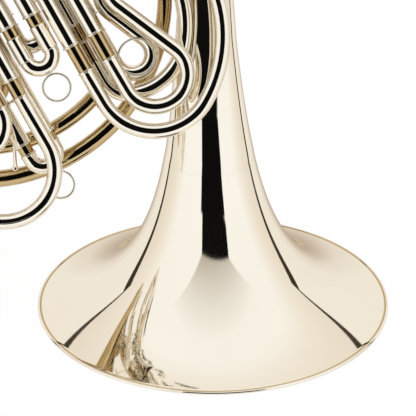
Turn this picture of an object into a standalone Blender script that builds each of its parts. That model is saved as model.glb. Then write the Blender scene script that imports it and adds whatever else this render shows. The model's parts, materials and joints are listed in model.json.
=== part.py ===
"""Double french horn, standing on its bell rim.

Lengths are in metres. Most pieces are set out on the body plane, which leans
back from the bell axis: u runs to the right, v up the plane and w out of its
front. The valve slides have their own directions in that plane: n across the
slides and s along them, the way they pull out.
"""
import math

import bmesh
import bpy
from mathutils import Matrix, Vector

# Bell
RIM_RADIUS = 0.155
RIM_BEAD = 0.0013
RIM_FLAT = 0.0030
FLARE_OFFSET = 0.041
FLARE_POWER = 0.91
BELL_WALL = 0.0012
BELL_LEAN = 0.0213
FLARE_HEIGHT = 0.147
FLARE_SIDES = 36
FLARE_STEPS = 9
FLARE_CROWDING = 1.8
FLARE_START = 0.0004

# Body plane
LEAN_BACK = math.radians(20.0)
PLANE_HEIGHT = 0.200
BODY_U = -0.1987
BODY_V = 0.0889

# Bell branch, from the bell tail over the top and back along the bottom
TAIL_U = -0.0062
TAIL_LEAD = 0.003
BRANCH_RADIUS = 0.158
LOWER_BOW_RADIUS = 0.170
BRANCH_WALL = 0.0010
BRANCH_SIDES = 12
BRANCH_NAMES = ("bell_tail", "upper_bow", "left_bow", "first_branch")
FERRULE_LENGTH = 0.016
FERRULE_STEP = 0.0009
BRANCH_RISE = 0.0414
BRANCH_ENTRY_BEND = 0.040
BRANCH_ENTRY_RUN = 0.0085

# Valve slides
SLIDE_HEADING = -60.9
SLIDE_U = -0.1848
SLIDE_V = 0.0952
FRONT_LEVEL = 0.044
BACK_LEVEL = 0.028
LEG_RADIUS = 0.00615
CROOK_RADIUS = 0.0065
SLEEVE_RADIUS = 0.00715
SLEEVE_BORE = 0.0065
PORT_RADIUS = 0.0056
PORT_LENGTH = 0.010
RING_RADIUS = 0.0080
RING_WIDTH = 0.0016
SLIDE_SIDES = 10
CASING_BITE = 0.006
STAY_RADIUS = 0.0015
STAY_BITE = 0.0006
PULL_WIRE = 0.0010
PULL_RADIUS = 0.0115
PULL_POINTS = 18
THIRD_RING_RADIUS = 0.0152
THIRD_RING_AT = (0.0783, 0.1074)

# The six valve slides. legs is each leg's n; mouth is where the sleeves end, as s;
# insertion is how far the legs run in, and spare the bore beyond them; stays are
# the braces' s; neck is the bare leg before its collar; runs gives where each
# leg's straight part ends, as s, then bends as (radius, degrees) or plain lengths.
SLIDES = {
    "first_front": {"valve": "first", "level": FRONT_LEVEL, "legs": (-0.0223, -0.0426),
                    "mouth": 0.0733, "insertion": 0.040, "spare": 0.012, "stays": (0.030,),
                    "neck": 0.015, "collar": RING_WIDTH,
                    "runs": ((0.1359, (0.0434, -119.1), 0.008), (0.0920, (0.0234, -119.1), 0.008))},
    "second_front": {"valve": "second", "level": FRONT_LEVEL, "legs": (-0.0030, 0.0194),
                     "mouth": 0.0344, "insertion": 0.020, "spare": 0.009, "stays": (0.006,),
                     "neck": 0.0091, "collar": 0.0225, "runs": ((0.0663,), (0.0663,))},
    "third_front": {"valve": "third", "level": FRONT_LEVEL, "legs": (0.0360, 0.0582),
                    "mouth": 0.0733, "insertion": 0.040, "spare": 0.012, "stays": (0.030,),
                    "neck": 0.0227, "collar": RING_WIDTH,
                    "runs": ((0.1255, (0.0492, 121.0), (0.110, 70.0)),
                             (0.1273, (0.027, 203.8), 0.060, (0.023, -52.9)))},
    "first_back": {"valve": "first", "level": BACK_LEVEL, "legs": (-0.0424, -0.0198),
                   "mouth": 0.127, "insertion": 0.040, "spare": 0.012, "stays": (0.040, 0.090),
                   "neck": 0.008, "collar": RING_WIDTH, "runs": ((0.1406,), (0.1406,))},
    "second_back": {"valve": "second", "level": BACK_LEVEL, "legs": (-0.0023, 0.0197),
                    "mouth": 0.027, "insertion": 0.014, "spare": 0.009, "stays": (0.004,),
                    "neck": 0.008, "collar": RING_WIDTH, "runs": ((0.0470,), (0.0470,))},
    "third_back": {"valve": "third", "level": BACK_LEVEL, "legs": (0.0445, 0.0597),
                   "mouth": 0.060, "insertion": 0.040, "spare": 0.012, "stays": (0.020,),
                   "neck": 0.014, "collar": RING_WIDTH,
                   "runs": ((0.112, (0.022, 65.0), (0.050, 75.0), (0.090, 26.0)),
                            (0.1042, (0.0162, 203.8), 0.0351, (0.023, -52.9)))},
}

# Rotary valves
VALVE_S = -0.020
VALVE_N = {"first": -0.0324, "second": 0.0082, "third": 0.0471, "change": 0.0870}
CASING_RADIUS = 0.0175
CASING_BORE = 0.0143
CASING_BACK = 0.0165
CASING_FRONT = 0.0533
CASING_WALL = 0.0030
CASING_SIDES = 18
ROTOR_RADIUS = 0.0137
ROTOR_PLAY = 0.0006
PASSAGE_RADIUS = 0.0045
PASSAGE_BEND = 0.006
PASSAGE_OFFSET = 0.0072
PASSAGE_OVERRUN = 0.003
SPINDLE_RADIUS = 0.0030
SPINDLE_HOLE = 0.0034
CAP_HEIGHT = 0.0048
HUB_RADIUS = 0.0050
HUB_HEIGHT = 0.0060
STOP_ARM_LENGTH = 0.0130
STOP_ARM_WIDTH = 0.0044
STOP_ARM_ROOT = 0.002
STOP_REST = -45.0
BUMPER_RADIUS = 0.0018
BUMPER_CIRCLE = 0.0120
BUMPER_BITE = 0.001

# Action
ROD_LEVEL = 0.010
ROD_OFFSET = 0.0070
ROD_START = -0.012
ROD_WIDTH = 0.0034
ROD_THICKNESS = 0.0020
CHANGE_ROD_LEVEL = -0.012
SHAFT_S = -0.138
SHAFT_LEVEL = 0.0475
THUMB_SHAFT_S = -0.088
THUMB_SHAFT_LEVEL = -0.0345
SHAFT_RADIUS = 0.0020
HINGE_RADIUS = 0.0030
HINGE_BORE = 0.0023
HINGE_LENGTH = 0.012
CRANK_OFFSET = 0.0033
CRANK_WIDTH = 0.0026
CRANK_THICKNESS = 0.0040
CRANK_OVERLAP = 0.002
ROD_OVERRUN = 0.003
PADDLE_LENGTH = 0.034
PADDLE_WIDTH = 0.017
PADDLE_REACH = 0.098
LEVER_THICKNESS = 0.0028
LEVER_WIDTH = 0.005
PADDLE_SHARE = 0.8
SPRING_WIRE = 0.0006
SPRING_RADIUS = 0.0033
SPRING_PITCH = 0.0022
SPRING_TURNS = 4
SPRING_POINTS = 9
SPRING_GAP = 0.001
POST_RADIUS = 0.0016
FLANGE_RADIUS = 0.0036
FLANGE_HEIGHT = 0.008
LEVER_POSTS = (-0.046, 0.036)
LEVER_FOOT_S = -0.173
LEVER_FOOT_LEVEL = 0.006
THUMB_PADDLE_N = 0.044
THUMB_REACH = 0.028
THUMB_TUBE_ENDS = (0.006, 0.002)

# Finger hook and brace
HOOK_N = -0.052
HOOK_ROOT_S = -0.178
HOOK_S = -0.200
HOOK_OPENING = 0.024
HOOK_LENGTH = 0.016
HOOK_CORNER = 0.008
HOOK_RADIUS = 0.0025
BRACE_S = 0.110
BRACE_DROP = 0.042

# Mouthpipe and main tuning slide
MAIN_FAR_S = -0.060
MAIN_START_N = -0.050
MAIN_MOUTH_N = -0.100
MAIN_INSERTION = 0.030
MAIN_SPARE = 0.006
MAIN_STAY = 0.014
MAIN_LEAD = 0.018
MAIN_NECK = 0.010
MOUTHPIPE_END_RADIUS = 0.0062
MOUTHPIPE_TIP_RADIUS = 0.0046
MOUTHPIPE_LEAD = 0.0826
MOUTHPIPE_TURN = 0.052
MOUTHPIPE_SWEEP = 0.172
MOUTHPIPE_RUN = 0.112
RECEIVER_LENGTH = 0.030
RECEIVER_RADIUS = 0.0068
RECEIVER_BORE = 0.0046
RECEIVER_RIM = 0.001
RECEIVER_COLLAR = 0.024
RECEIVER_FLOOR = 0.006

# Inner tubing of the longer side
INNER_RADIUS = 0.0065
INNER_BOW = 0.1305
INNER_BOW_TURN = 48.2
INNER_CORNER = 0.020
INNER_TURN_S = 0.012
ENTRY_CORNER = 0.010
ENTRY_BITE = 0.005
FOURTH_GAP = 0.036
FOURTH_SLEEVE = 0.034
FOURTH_INSERTION = 0.019
FOURTH_SPARE = 0.003
FOURTH_LEAD = 0.008
FOURTH_NECK = 0.005
INNER_FOOT = (BODY_U, BODY_V - INNER_BOW, 0.0)
RETURN_S = -0.065
RETURN_CLIMB = 0.023

GAP = 0.0003
ARC_STEP = 30.0
ARC_ERROR = 0.0010
END_ZONE = 0.0005
CORNERS = ((1, 1), (-1, 1), (-1, -1), (1, -1))

SILVER = (0.86, 0.81, 0.69)
GOLD = (0.80, 0.62, 0.33)
STEEL = (0.62, 0.62, 0.60)

U = Vector((1.0, 0.0, 0.0))
V = Vector((0.0, math.sin(LEAN_BACK), math.cos(LEAN_BACK)))
W = Vector((0.0, -math.cos(LEAN_BACK), math.sin(LEAN_BACK)))
S_TURN = math.radians(SLIDE_HEADING)
S = U * math.cos(S_TURN) + V * math.sin(S_TURN)
N = U * -math.sin(S_TURN) + V * math.cos(S_TURN)
UP = Vector((0.0, 0.0, 1.0))


def place(point):
    """A point (u, v, w) of the body plane, in space."""
    u, v, w = point
    return UP * PLANE_HEIGHT + U * u + V * v + W * w


def along(n, s, w):
    """A point of the slides' own directions, as (u, v, w)."""
    turn = math.radians(SLIDE_HEADING)
    u = SLIDE_U - n * math.sin(turn) + s * math.cos(turn)
    v = SLIDE_V + n * math.cos(turn) + s * math.sin(turn)
    return Vector((u, v, w))


def direction(run):
    """A direction given as (u, v, w), in space."""
    return U * run.x + V * run.y + W * run.z


def seat(n, s, w):
    """The same point, in space."""
    return place(along(n, s, w))


class Path:
    """A centreline on the body plane, made of straight runs and bends."""

    def __init__(self, point, heading=0.0):
        self.knots = [Vector(point)]
        self.first = heading
        self.heading = heading

    def end(self):
        return self.knots[-1]

    def ahead(self, heading=None):
        turn = math.radians(self.heading if heading is None else heading)
        return Vector((math.cos(turn), math.sin(turn), 0.0))

    def straight(self, length):
        if length > 1e-7:
            self.knots.append(self.end() + self.ahead() * length)
        return self

    def turn(self, radius, degrees, climb=0.0):
        finest = math.degrees(2 * math.acos(1 - ARC_ERROR / radius))
        steps = max(2, math.ceil(abs(degrees) / min(finest, ARC_STEP)))
        side = math.copysign(90.0, degrees)
        start = self.end()
        centre = start + self.ahead(self.heading + side) * radius
        for k in range(1, steps + 1):
            share = k / steps
            knot = centre + self.ahead(self.heading - side + degrees * share) * radius
            knot.z = start.z + climb * share
            self.knots.append(knot)
        self.heading += degrees
        return self

    def corners(self, points, radius, steps=3):
        """Runs on through the points, with each corner but the last one rounded."""
        for k, point in enumerate(points[:-1]):
            before = (point - self.end()).normalized()
            after = (points[k + 1] - point).normalized()
            bend = before.angle(after)
            centre = point + (after - before).normalized() * radius / math.cos(bend / 2)
            spoke = point - before * radius * math.tan(bend / 2) - centre
            for j in range(steps + 1):
                turn = Matrix.Rotation(bend * j / steps, 3, before.cross(after))
                self.knots.append(centre + turn @ spoke)
        self.knots.append(points[-1].copy())
        self.heading = None
        return self

    def run_on(self, steps):
        """Goes on through bends, given as (radius, degrees), and plain lengths."""
        for step in steps:
            if isinstance(step, tuple):
                self.turn(*step)
            else:
                self.straight(step)
        return self

    def joined(self, other):
        """Runs round one bend into the end of another path, walked backwards."""
        here, there = self.ahead(), other.ahead()
        gap = other.end() - self.end()
        cross = here.x * -there.y + here.y * there.x
        if abs(cross) < 1e-4:
            lead = gap.dot(here)
            self.straight(max(lead, 0.0))
            other.straight(max(-lead, 0.0))
            gap = other.end() - self.end()
            left = here.x * gap.y - here.y * gap.x > 0
            self.turn(gap.length / 2, 180.0 if left else -180.0)
        else:
            to_corner = (gap.x * there.y - gap.y * there.x) / -cross
            from_corner = (gap.x * here.y - gap.y * here.x) / -cross
            tangent = min(to_corner, from_corner)
            bend = math.degrees(math.acos(max(-1.0, min(1.0, -here.dot(there)))))
            self.straight(to_corner - tangent)
            other.straight(from_corner - tangent)
            radius = tangent / math.tan(math.radians(bend / 2))
            self.turn(radius, math.copysign(bend, cross))
        self.knots.pop()
        self.knots += list(reversed(other.knots))
        self.heading = other.first + 180.0
        return self

    def marks(self):
        """The distance of each knot from the start."""
        found = [0.0]
        for a, b in zip(self.knots, self.knots[1:]):
            found.append(found[-1] + (b - a).length)
        return found

    def length(self):
        return self.marks()[-1]


def material(name, colour, roughness=0.15):
    made = bpy.data.materials.new(name)
    made.use_nodes = True
    shader = made.node_tree.nodes["Principled BSDF"]
    shader.inputs["Base Color"].default_value = (*colour, 1.0)
    shader.inputs["Roughness"].default_value = roughness
    shader.inputs["Metallic"].default_value = 1.0
    return made


def solid(name, bm, colour=SILVER):
    """Makes a named object of its own material from a closed mesh."""
    bmesh.ops.recalc_face_normals(bm, faces=bm.faces)
    mesh = bpy.data.meshes.new(name)
    bm.to_mesh(mesh)
    bm.free()
    mesh.materials.append(material(name, colour))
    mesh.shade_smooth()
    mesh.set_sharp_from_angle(angle=math.radians(40.0))
    made = bpy.data.objects.new(name, mesh)
    bpy.context.scene.collection.objects.link(made)
    return made


def ring(bm, centre, axis, across, radius, sides):
    """One ring of points, square to an axis."""
    side = axis.cross(across).normalized()
    up = side.cross(axis).normalized()
    turns = [(k + 0.5) * math.tau / sides for k in range(sides)]
    return [bm.verts.new(centre + (side * math.cos(t) + up * math.sin(t)) * radius) for t in turns]


def skin(bm, rings, closed):
    """Joins rings into one surface, capped at both ends unless it closes on itself."""
    pairs = list(zip(rings, rings[1:]))
    if closed:
        pairs.append((rings[-1], rings[0]))
    for low, high in pairs:
        for k in range(len(low)):
            j = (k + 1) % len(low)
            bm.faces.new((low[k], low[j], high[j], high[k]))
    if not closed:
        bm.faces.new(list(reversed(rings[0])))
        bm.faces.new(rings[-1])


def turned(name, origin, axis, across, profile, sides, colour=SILVER, closed=False):
    """A shape turned about an axis; the profile lists (distance, radius)."""
    bm = bmesh.new()
    rings = [ring(bm, origin + axis * d, axis, across, r, sides) for d, r in profile]
    skin(bm, rings, closed)
    return solid(name, bm, colour)


def stations(marks, profile, closed):
    """Profile steps along a route, with the route's own knots between them."""
    steps = list(profile) + ([profile[0]] if closed else [])
    found = []
    for (d0, r0), (d1, r1) in zip(steps, steps[1:]):
        found.append((d0, r0))
        between = [m for m in marks if min(d0, d1) + 1e-4 < m < max(d0, d1) - 1e-4]
        for mark in sorted(between, reverse=d1 < d0):
            found.append((mark, r0 + (r1 - r0) * (mark - d0) / (d1 - d0)))
    if not closed:
        found.append(steps[-1])
    return found


def swept(name, path, profile, sides=SLIDE_SIDES, colour=SILVER, closed=False, across=W):
    """A round section carried along a route; the profile lists (distance, radius)."""
    knots = [place(k) for k in path.knots]
    marks = path.marks()
    runs = [(b - a).normalized() for a, b in zip(knots, knots[1:])]
    bm = bmesh.new()
    rings = []
    for distance, radius in stations(marks, profile, closed):
        k = max(i for i in range(len(runs)) if marks[i] <= distance + 1e-5 or i == 0)
        centre = knots[k] + runs[k] * (distance - marks[k])
        tangent = runs[k]
        if distance < END_ZONE and path.first is not None:
            tangent = direction(path.ahead(path.first))
        elif distance > marks[-1] - END_ZONE and path.heading is not None:
            tangent = direction(path.ahead())
        elif k and abs(distance - marks[k]) < 1e-5:
            tangent = (runs[k - 1] + runs[k]).normalized()
        rings.append(ring(bm, centre, tangent, across, radius, sides))
    skin(bm, rings, closed)
    return solid(name, bm, colour)


def bar(name, start, finish, across, width, height, colour=SILVER):
    """A straight bar; width lies square to across, height along it."""
    run = (finish - start).normalized()
    side = run.cross(across).normalized() * width / 2
    up = side.cross(run).normalized() * height / 2
    bm = bmesh.new()
    rings = []
    for end in (start, finish):
        rings.append([bm.verts.new(end + a * side + b * up) for a, b in CORNERS])
    skin(bm, rings, False)
    return solid(name, bm, colour)


def rod(name, start, finish, across, radius, sides=8, colour=SILVER):
    run = finish - start
    return turned(name, start, run.normalized(), across, [(0.0, radius), (run.length, radius)], sides, colour)


def plate(name, centre, lengthwise, out, length, width, thickness, colour=SILVER):
    """A flat plate with round corners."""
    side = lengthwise.cross(out)
    corner = width * 0.42
    outline = []
    for quarter, (a, b) in enumerate(CORNERS):
        middle = lengthwise * a * (length / 2 - corner) + side * b * (width / 2 - corner)
        for k in range(4):
            t = math.radians(quarter * 90 + k * 30)
            outline.append(centre + middle + (lengthwise * math.cos(t) + side * math.sin(t)) * corner)
    bm = bmesh.new()
    rings = [[bm.verts.new(p + out * h) for p in outline] for h in (-thickness / 2, thickness / 2)]
    skin(bm, rings, False)
    return solid(name, bm, colour)


def combined(piece, tools, operation):
    """Applies one Boolean for each tool and removes the tools."""
    for other in tools:
        step = piece.modifiers.new("join", "BOOLEAN")
        step.operation = operation
        step.solver = "EXACT"
        step.object = other
        seen = piece.evaluated_get(bpy.context.evaluated_depsgraph_get())
        mesh = bpy.data.meshes.new_from_object(seen)
        piece.modifiers.clear()
        piece.data = mesh
        own = mesh.materials[0]
        mesh.materials.clear()
        mesh.materials.append(own)
        bpy.data.objects.remove(other)
    return piece


def fused(piece, *others):
    return combined(piece, others, "UNION")


def trimmed(piece, *cutters):
    return combined(piece, cutters, "DIFFERENCE")


def flare_radius(distance):
    """Outer radius of the bell branch, by distance from the rim along its axis."""
    return RIM_RADIUS * ((distance + FLARE_OFFSET) / FLARE_OFFSET) ** -FLARE_POWER


def bell_centre(height):
    return Vector((-BELL_LEAN * height, 0.0, height))


def bell_flare():
    """A spun flare: a thin wall that ends in a bead rolled outward round its rim."""
    heights = [FLARE_HEIGHT * (k / FLARE_STEPS) ** FLARE_CROWDING for k in range(FLARE_STEPS + 1)]
    heights[0] = FLARE_START
    outer, inner = [], []
    for height in heights:
        radius = flare_radius(height)
        slope = FLARE_POWER * radius / (height + FLARE_OFFSET)
        tilt = math.hypot(1.0, slope)
        outer.append((height + RIM_BEAD, radius))
        inner.append((height + RIM_BEAD - BELL_WALL * slope / tilt, radius - BELL_WALL / tilt))
    outer[-1] = (FLARE_HEIGHT - GAP, flare_radius(FLARE_HEIGHT))
    inner[-1] = (FLARE_HEIGHT - GAP, flare_radius(FLARE_HEIGHT) - BRANCH_WALL)
    edge = RIM_RADIUS - RIM_BEAD / 2
    bead = [(2 * RIM_BEAD, edge), (RIM_BEAD, RIM_RADIUS), (0.0, edge), (0.0, edge - RIM_FLAT)]
    profile = list(reversed(outer[1:])) + bead + inner[1:]
    bm = bmesh.new()
    rings = [ring(bm, bell_centre(h), UP, V, r, FLARE_SIDES) for h, r in profile]
    skin(bm, rings, True)
    return solid("bell_flare", bm)


def tail_path():
    """From the flare's end up into the body plane."""
    drop = PLANE_HEIGHT - FLARE_HEIGHT
    bend = (drop - TAIL_LEAD) / math.tan(LEAN_BACK / 2)
    path = Path((-BELL_LEAN * FLARE_HEIGHT, -drop * math.cos(LEAN_BACK), -drop * math.sin(LEAN_BACK)), 90.0)
    start = path.end() + Vector((0.0, math.cos(LEAN_BACK), math.sin(LEAN_BACK))) * TAIL_LEAD
    path.knots.append(start)
    path.first = None
    steps = 4
    for k in range(1, steps + 1):
        left = LEAN_BACK * (1 - k / steps)
        rise = bend * (math.sin(LEAN_BACK) - math.sin(left))
        gain = bend * (math.cos(left) - math.cos(LEAN_BACK))
        lean = start.x + (TAIL_U - start.x) * k / steps
        path.knots.append(Vector((lean, start.y + rise, start.z + gain)))
    path.knots.append(Vector((TAIL_U, BODY_V, 0.0)))
    return path


def branch_paths():
    """The bell branch as one run of tubes, from the flare round to the change valve."""
    tail = tail_path()
    left_radius = (TAIL_U - BODY_U + BRANCH_RADIUS) / 2
    upper_radius = LOWER_BOW_RADIUS + TAIL_U - BODY_U - left_radius
    upper = Path(tail.end(), 90.0).turn(upper_radius, 90.0)
    left = Path(upper.end(), 180.0).turn(left_radius, 90.0)
    first = Path(left.end(), 270.0).turn(LOWER_BOW_RADIUS, 90.0).turn(BRANCH_RADIUS, 90.0)
    first.straight(BRANCH_RISE)
    first.turn(BRANCH_ENTRY_BEND, SLIDE_HEADING + 180.0, climb=BACK_LEVEL)
    first.straight(BRANCH_ENTRY_RUN)
    return tail, upper, left, first


def branch_space(wanted):
    """The room one tube of the branch takes, with a soldered neighbour's gap."""
    distance = FLARE_HEIGHT
    for name, path in zip(BRANCH_NAMES, branch_paths()):
        if name == wanted:
            outer = [(m, flare_radius(distance + m) + GAP) for m in path.marks()]
            return swept("space", path, outer, BRANCH_SIDES)
        distance += path.length()


def branch_tubes():
    distance = FLARE_HEIGHT
    for name, path in zip(BRANCH_NAMES, branch_paths()):
        marks = path.marks()
        lap = 0.0 if name == "bell_tail" else FERRULE_LENGTH
        outer = [(m, flare_radius(distance + m)) for m in marks if m >= lap]
        inner = [(m, flare_radius(distance + m) - BRANCH_WALL) for m in marks]
        if lap:
            start = flare_radius(distance)
            outer = [(GAP, start + FERRULE_STEP), (lap, start + FERRULE_STEP), (lap, start)] + outer
            inner[0] = (GAP, inner[0][1])
        made = swept(name, path, outer + inner[::-1], BRANCH_SIDES, GOLD, closed=True)
        distance += marks[-1]
    trimmed(made, valve_space("change"))


def valve_space(valve):
    """The room a casing takes, with the gap that soldered neighbours keep."""
    reach = CASING_RADIUS + GAP
    profile = [(CASING_BACK - reach, reach), (CASING_FRONT + reach, reach)]
    return turned("space", seat(VALVE_N[valve], VALVE_S, 0.0), W, N, profile, CASING_SIDES)


def valve_casing(name, hub_level):
    """The casing with its two links to the next valve and its bumper posts."""
    centre = seat(VALVE_N[name], VALVE_S, 0.0)
    shell = [(CASING_BACK, SPINDLE_HOLE), (CASING_BACK, CASING_RADIUS), (CASING_FRONT, CASING_RADIUS),
             (CASING_FRONT, CASING_BORE), (CASING_BACK + CASING_WALL, CASING_BORE),
             (CASING_BACK + CASING_WALL, SPINDLE_HOLE)]
    casing = turned(name + "_valve_casing", centre, W, N, shell, CASING_SIDES, closed=True)
    order = list(VALVE_N)
    following = order[(order.index(name) + 1) % len(order)]
    for level in (BACK_LEVEL, FRONT_LEVEL):
        if following != order[0]:
            start = seat(VALVE_N[name] + (CASING_RADIUS + CASING_BORE) / 2, VALVE_S, level)
            finish = seat(VALVE_N[following] - CASING_BORE, VALVE_S, level)
            fused(casing, trimmed(rod("link", start, finish, W, PORT_RADIUS, 12), valve_space(following)))
    lean = math.degrees(math.asin((STOP_ARM_WIDTH / 2 + BUMPER_RADIUS + GAP) / BUMPER_CIRCLE))
    for turn in (STOP_REST - lean, -STOP_REST + lean):
        foot = centre + stop_direction(turn) * BUMPER_CIRCLE
        start, finish = foot + W * (CASING_BACK + BUMPER_BITE), foot + W * (hub_level - HUB_HEIGHT / 2)
        fused(casing, rod("bumper", start, finish, N, BUMPER_RADIUS, 6))
    return casing


def stop_direction(degrees):
    """Where a stop arm points at one angle of its valve."""
    turn = math.radians(degrees)
    return S * math.sin(turn) - N * math.cos(turn)


def valve_rotor(name, hub_level):
    """A rotor on its spindle, with two bent passages at each slide's level."""
    centre = seat(VALVE_N[name], VALVE_S, 0.0)
    inner, outer = CASING_BACK + CASING_WALL + ROTOR_PLAY, CASING_FRONT - ROTOR_PLAY
    foot = hub_level + HUB_HEIGHT / 2 + GAP
    body = [(foot, SPINDLE_RADIUS), (inner, SPINDLE_RADIUS), (inner, ROTOR_RADIUS), (outer, ROTOR_RADIUS)]
    rotor = turned(name + "_rotor", centre, W, N, body, CASING_SIDES, GOLD)
    reach = ROTOR_RADIUS + PASSAGE_OVERRUN
    for level in (BACK_LEVEL, FRONT_LEVEL):
        for side in (-1, 1):
            passage = Path(along(VALVE_N[name] + side * reach, VALVE_S, level), SLIDE_HEADING - side * 90.0)
            passage.straight(reach - PASSAGE_OFFSET - PASSAGE_BEND)
            passage.turn(PASSAGE_BEND, side * 90.0).straight(ROTOR_RADIUS)
            length = passage.length()
            cut = [(0.0, PASSAGE_RADIUS), (length, PASSAGE_RADIUS)]
            trimmed(rotor, swept("passage", passage, cut, 8))
    return rotor


def valve(name, hub_level):
    """One rotary valve: casing, rotor, front cap and stop arm."""
    centre = seat(VALVE_N[name], VALVE_S, 0.0)
    valve_casing(name, hub_level)
    valve_rotor(name, hub_level)
    face = CASING_FRONT + GAP
    step = face + CAP_HEIGHT / 2
    cap = [(face, CASING_RADIUS), (step, CASING_RADIUS), (step, CASING_RADIUS * 0.72),
           (face + CAP_HEIGHT, CASING_RADIUS * 0.60)]
    turned(name + "_valve_cap", centre, W, N, cap, CASING_SIDES)
    hub = [(hub_level - HUB_HEIGHT / 2, HUB_RADIUS), (hub_level + HUB_HEIGHT / 2, HUB_RADIUS)]
    arm = turned(name + "_stop_arm", centre, W, N, hub, 12, STEEL)
    middle, out = centre + W * hub_level, stop_direction(STOP_REST)
    root, tip = middle + out * STOP_ARM_ROOT, middle + out * STOP_ARM_LENGTH
    blade = bar("blade", root, tip, W, STOP_ARM_WIDTH, HUB_HEIGHT * 0.6)
    fused(arm, blade)


def sleeve(name, path, depth, radius=SLEEVE_RADIUS):
    """A fixed outer leg: its port, the sleeve, the ring at its mouth and its bore."""
    end = path.length()
    profile = [(0.0, PORT_RADIUS), (PORT_LENGTH, PORT_RADIUS), (PORT_LENGTH, radius), (end - RING_WIDTH, radius),
               (end - RING_WIDTH, RING_RADIUS), (end, RING_RADIUS), (end, SLEEVE_BORE), (end - depth, SLEEVE_BORE)]
    return swept(name, path, profile)


def stay(start, finish):
    """A thin brace between two tubes, let into each wall a little."""
    out = (finish - start).normalized()
    bite = SLEEVE_RADIUS * math.cos(math.pi / SLIDE_SIDES) - STAY_BITE
    return rod("stay", start + out * bite, finish - out * bite, W, STAY_RADIUS, 6)


def sleeve_pair(name, slide):
    """Both fixed legs of a valve slide, joined by stays and seated on the casing."""
    start = VALVE_S + CASING_RADIUS - CASING_BITE
    level, legs = slide["level"], slide["legs"]
    pieces = []
    for n in legs:
        path = Path(along(n, start, level), SLIDE_HEADING).straight(slide["mouth"] - start)
        pieces.append(sleeve(name, path, slide["insertion"] + slide["spare"]))
    pieces += [stay(seat(legs[0], s, level), seat(legs[1], s, level)) for s in slide["stays"]]
    pair = fused(*pieces)
    pair.name = name
    return trimmed(pair, valve_space(slide["valve"]))


def crook(name, path, insertion, exposed, collar=RING_WIDTH):
    """A sliding crook: thin legs that run in the sleeves, collars and the bent tube."""
    length = path.length()
    shoulder = insertion + exposed
    neck = [(0.0, LEG_RADIUS), (shoulder, LEG_RADIUS), (shoulder, SLEEVE_RADIUS),
            (shoulder + collar, SLEEVE_RADIUS), (shoulder + collar, CROOK_RADIUS)]
    return swept(name, path, neck + [(length - d, r) for d, r in reversed(neck)])


def valve_slides():
    """The three slides in front and the three behind them: fixed sleeves and a crook each."""
    for name, slide in SLIDES.items():
        sleeve_pair(name + "_sleeves", slide)
        start = slide["mouth"] - slide["insertion"]
        legs = []
        for n, (straight_end, *bends) in zip(slide["legs"], slide["runs"]):
            leg = Path(along(n, start, slide["level"]), SLIDE_HEADING).straight(straight_end - start)
            legs.append(leg.run_on(bends))
        crook(name + "_slide", legs[0].joined(legs[1]), slide["insertion"], slide["neck"], slide["collar"])


def end_ring(name, slide):
    """A pull ring that stands on the end of a slide's bend."""
    low, high = slide["legs"]
    bend_s = slide["runs"][0][0]
    reach = (high - low) / 2 + CROOK_RADIUS + GAP + PULL_WIRE
    pull_ring(name, seat((low + high) / 2, bend_s + reach + PULL_RADIUS, slide["level"]), PULL_RADIUS)


def pull_ring(name, middle, radius):
    """A wire ring to pull a slide by."""
    bm = bmesh.new()
    rings = []
    for k in range(PULL_POINTS):
        t = k * math.tau / PULL_POINTS
        spoke = S * math.cos(t) + N * math.sin(t)
        rings.append(ring(bm, middle + spoke * radius, W.cross(spoke), W, PULL_WIRE, 6))
    skin(bm, rings, True)
    return solid(name, bm)


def mouthpipe_path():
    """From the main tuning slide round the top of the horn and down its left side."""
    pipe = Path(along(MAIN_START_N + GAP, MAIN_FAR_S, BACK_LEVEL), SLIDE_HEADING + 90.0).straight(MOUTHPIPE_LEAD)
    return pipe.turn(MOUTHPIPE_TURN, 180.0 - pipe.heading).turn(MOUTHPIPE_SWEEP, 60.0).straight(MOUTHPIPE_RUN)


def main_tuning():
    """The main tuning slide beside the first valve, and the mouthpipe that feeds it."""
    heading = SLIDE_HEADING - 90.0
    near_start = VALVE_N["first"] - CASING_RADIUS + CASING_BITE
    near = Path(along(near_start, VALVE_S, BACK_LEVEL), heading).straight(near_start - MAIN_MOUTH_N)
    far = Path(along(MAIN_START_N, MAIN_FAR_S, BACK_LEVEL), heading).straight(MAIN_START_N - MAIN_MOUTH_N)
    depth = MAIN_INSERTION + MAIN_SPARE
    brace_n = MAIN_MOUTH_N + MAIN_STAY
    brace = stay(seat(brace_n, VALVE_S, BACK_LEVEL), seat(brace_n, MAIN_FAR_S, BACK_LEVEL))
    pair = fused(sleeve("main_tuning_sleeves", near, depth), sleeve("far", far, depth), brace)
    trimmed(pair, valve_space("first"))
    legs = [Path(along(MAIN_MOUTH_N + MAIN_INSERTION, s, BACK_LEVEL), heading) for s in (VALVE_S, MAIN_FAR_S)]
    for leg in legs:
        leg.straight(MAIN_INSERTION + MAIN_LEAD)
    crook("main_tuning_slide", legs[0].joined(legs[1]), MAIN_INSERTION, MAIN_NECK)

    pipe = mouthpipe_path()
    taper = [(0.0, MOUTHPIPE_END_RADIUS), (pipe.length(), MOUTHPIPE_TIP_RADIUS)]
    swept("mouthpipe", pipe, taper, 10, GOLD)
    receiver = Path(pipe.end(), pipe.heading).straight(RECEIVER_LENGTH)
    rim = RECEIVER_RADIUS + RECEIVER_RIM
    profile = [(GAP, RECEIVER_RADIUS), (RECEIVER_COLLAR, RECEIVER_RADIUS), (RECEIVER_COLLAR, rim),
               (RECEIVER_LENGTH, rim), (RECEIVER_LENGTH, RECEIVER_BORE),
               (RECEIVER_FLOOR, RECEIVER_BORE * 0.85)]
    swept("mouthpiece_receiver", receiver, profile)


def across_slides(point):
    """How far a body-plane point lies across the slides, its n."""
    return (point - along(0.0, 0.0, 0.0)).dot(Vector((-math.sin(S_TURN), math.cos(S_TURN), 0.0)))


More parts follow.
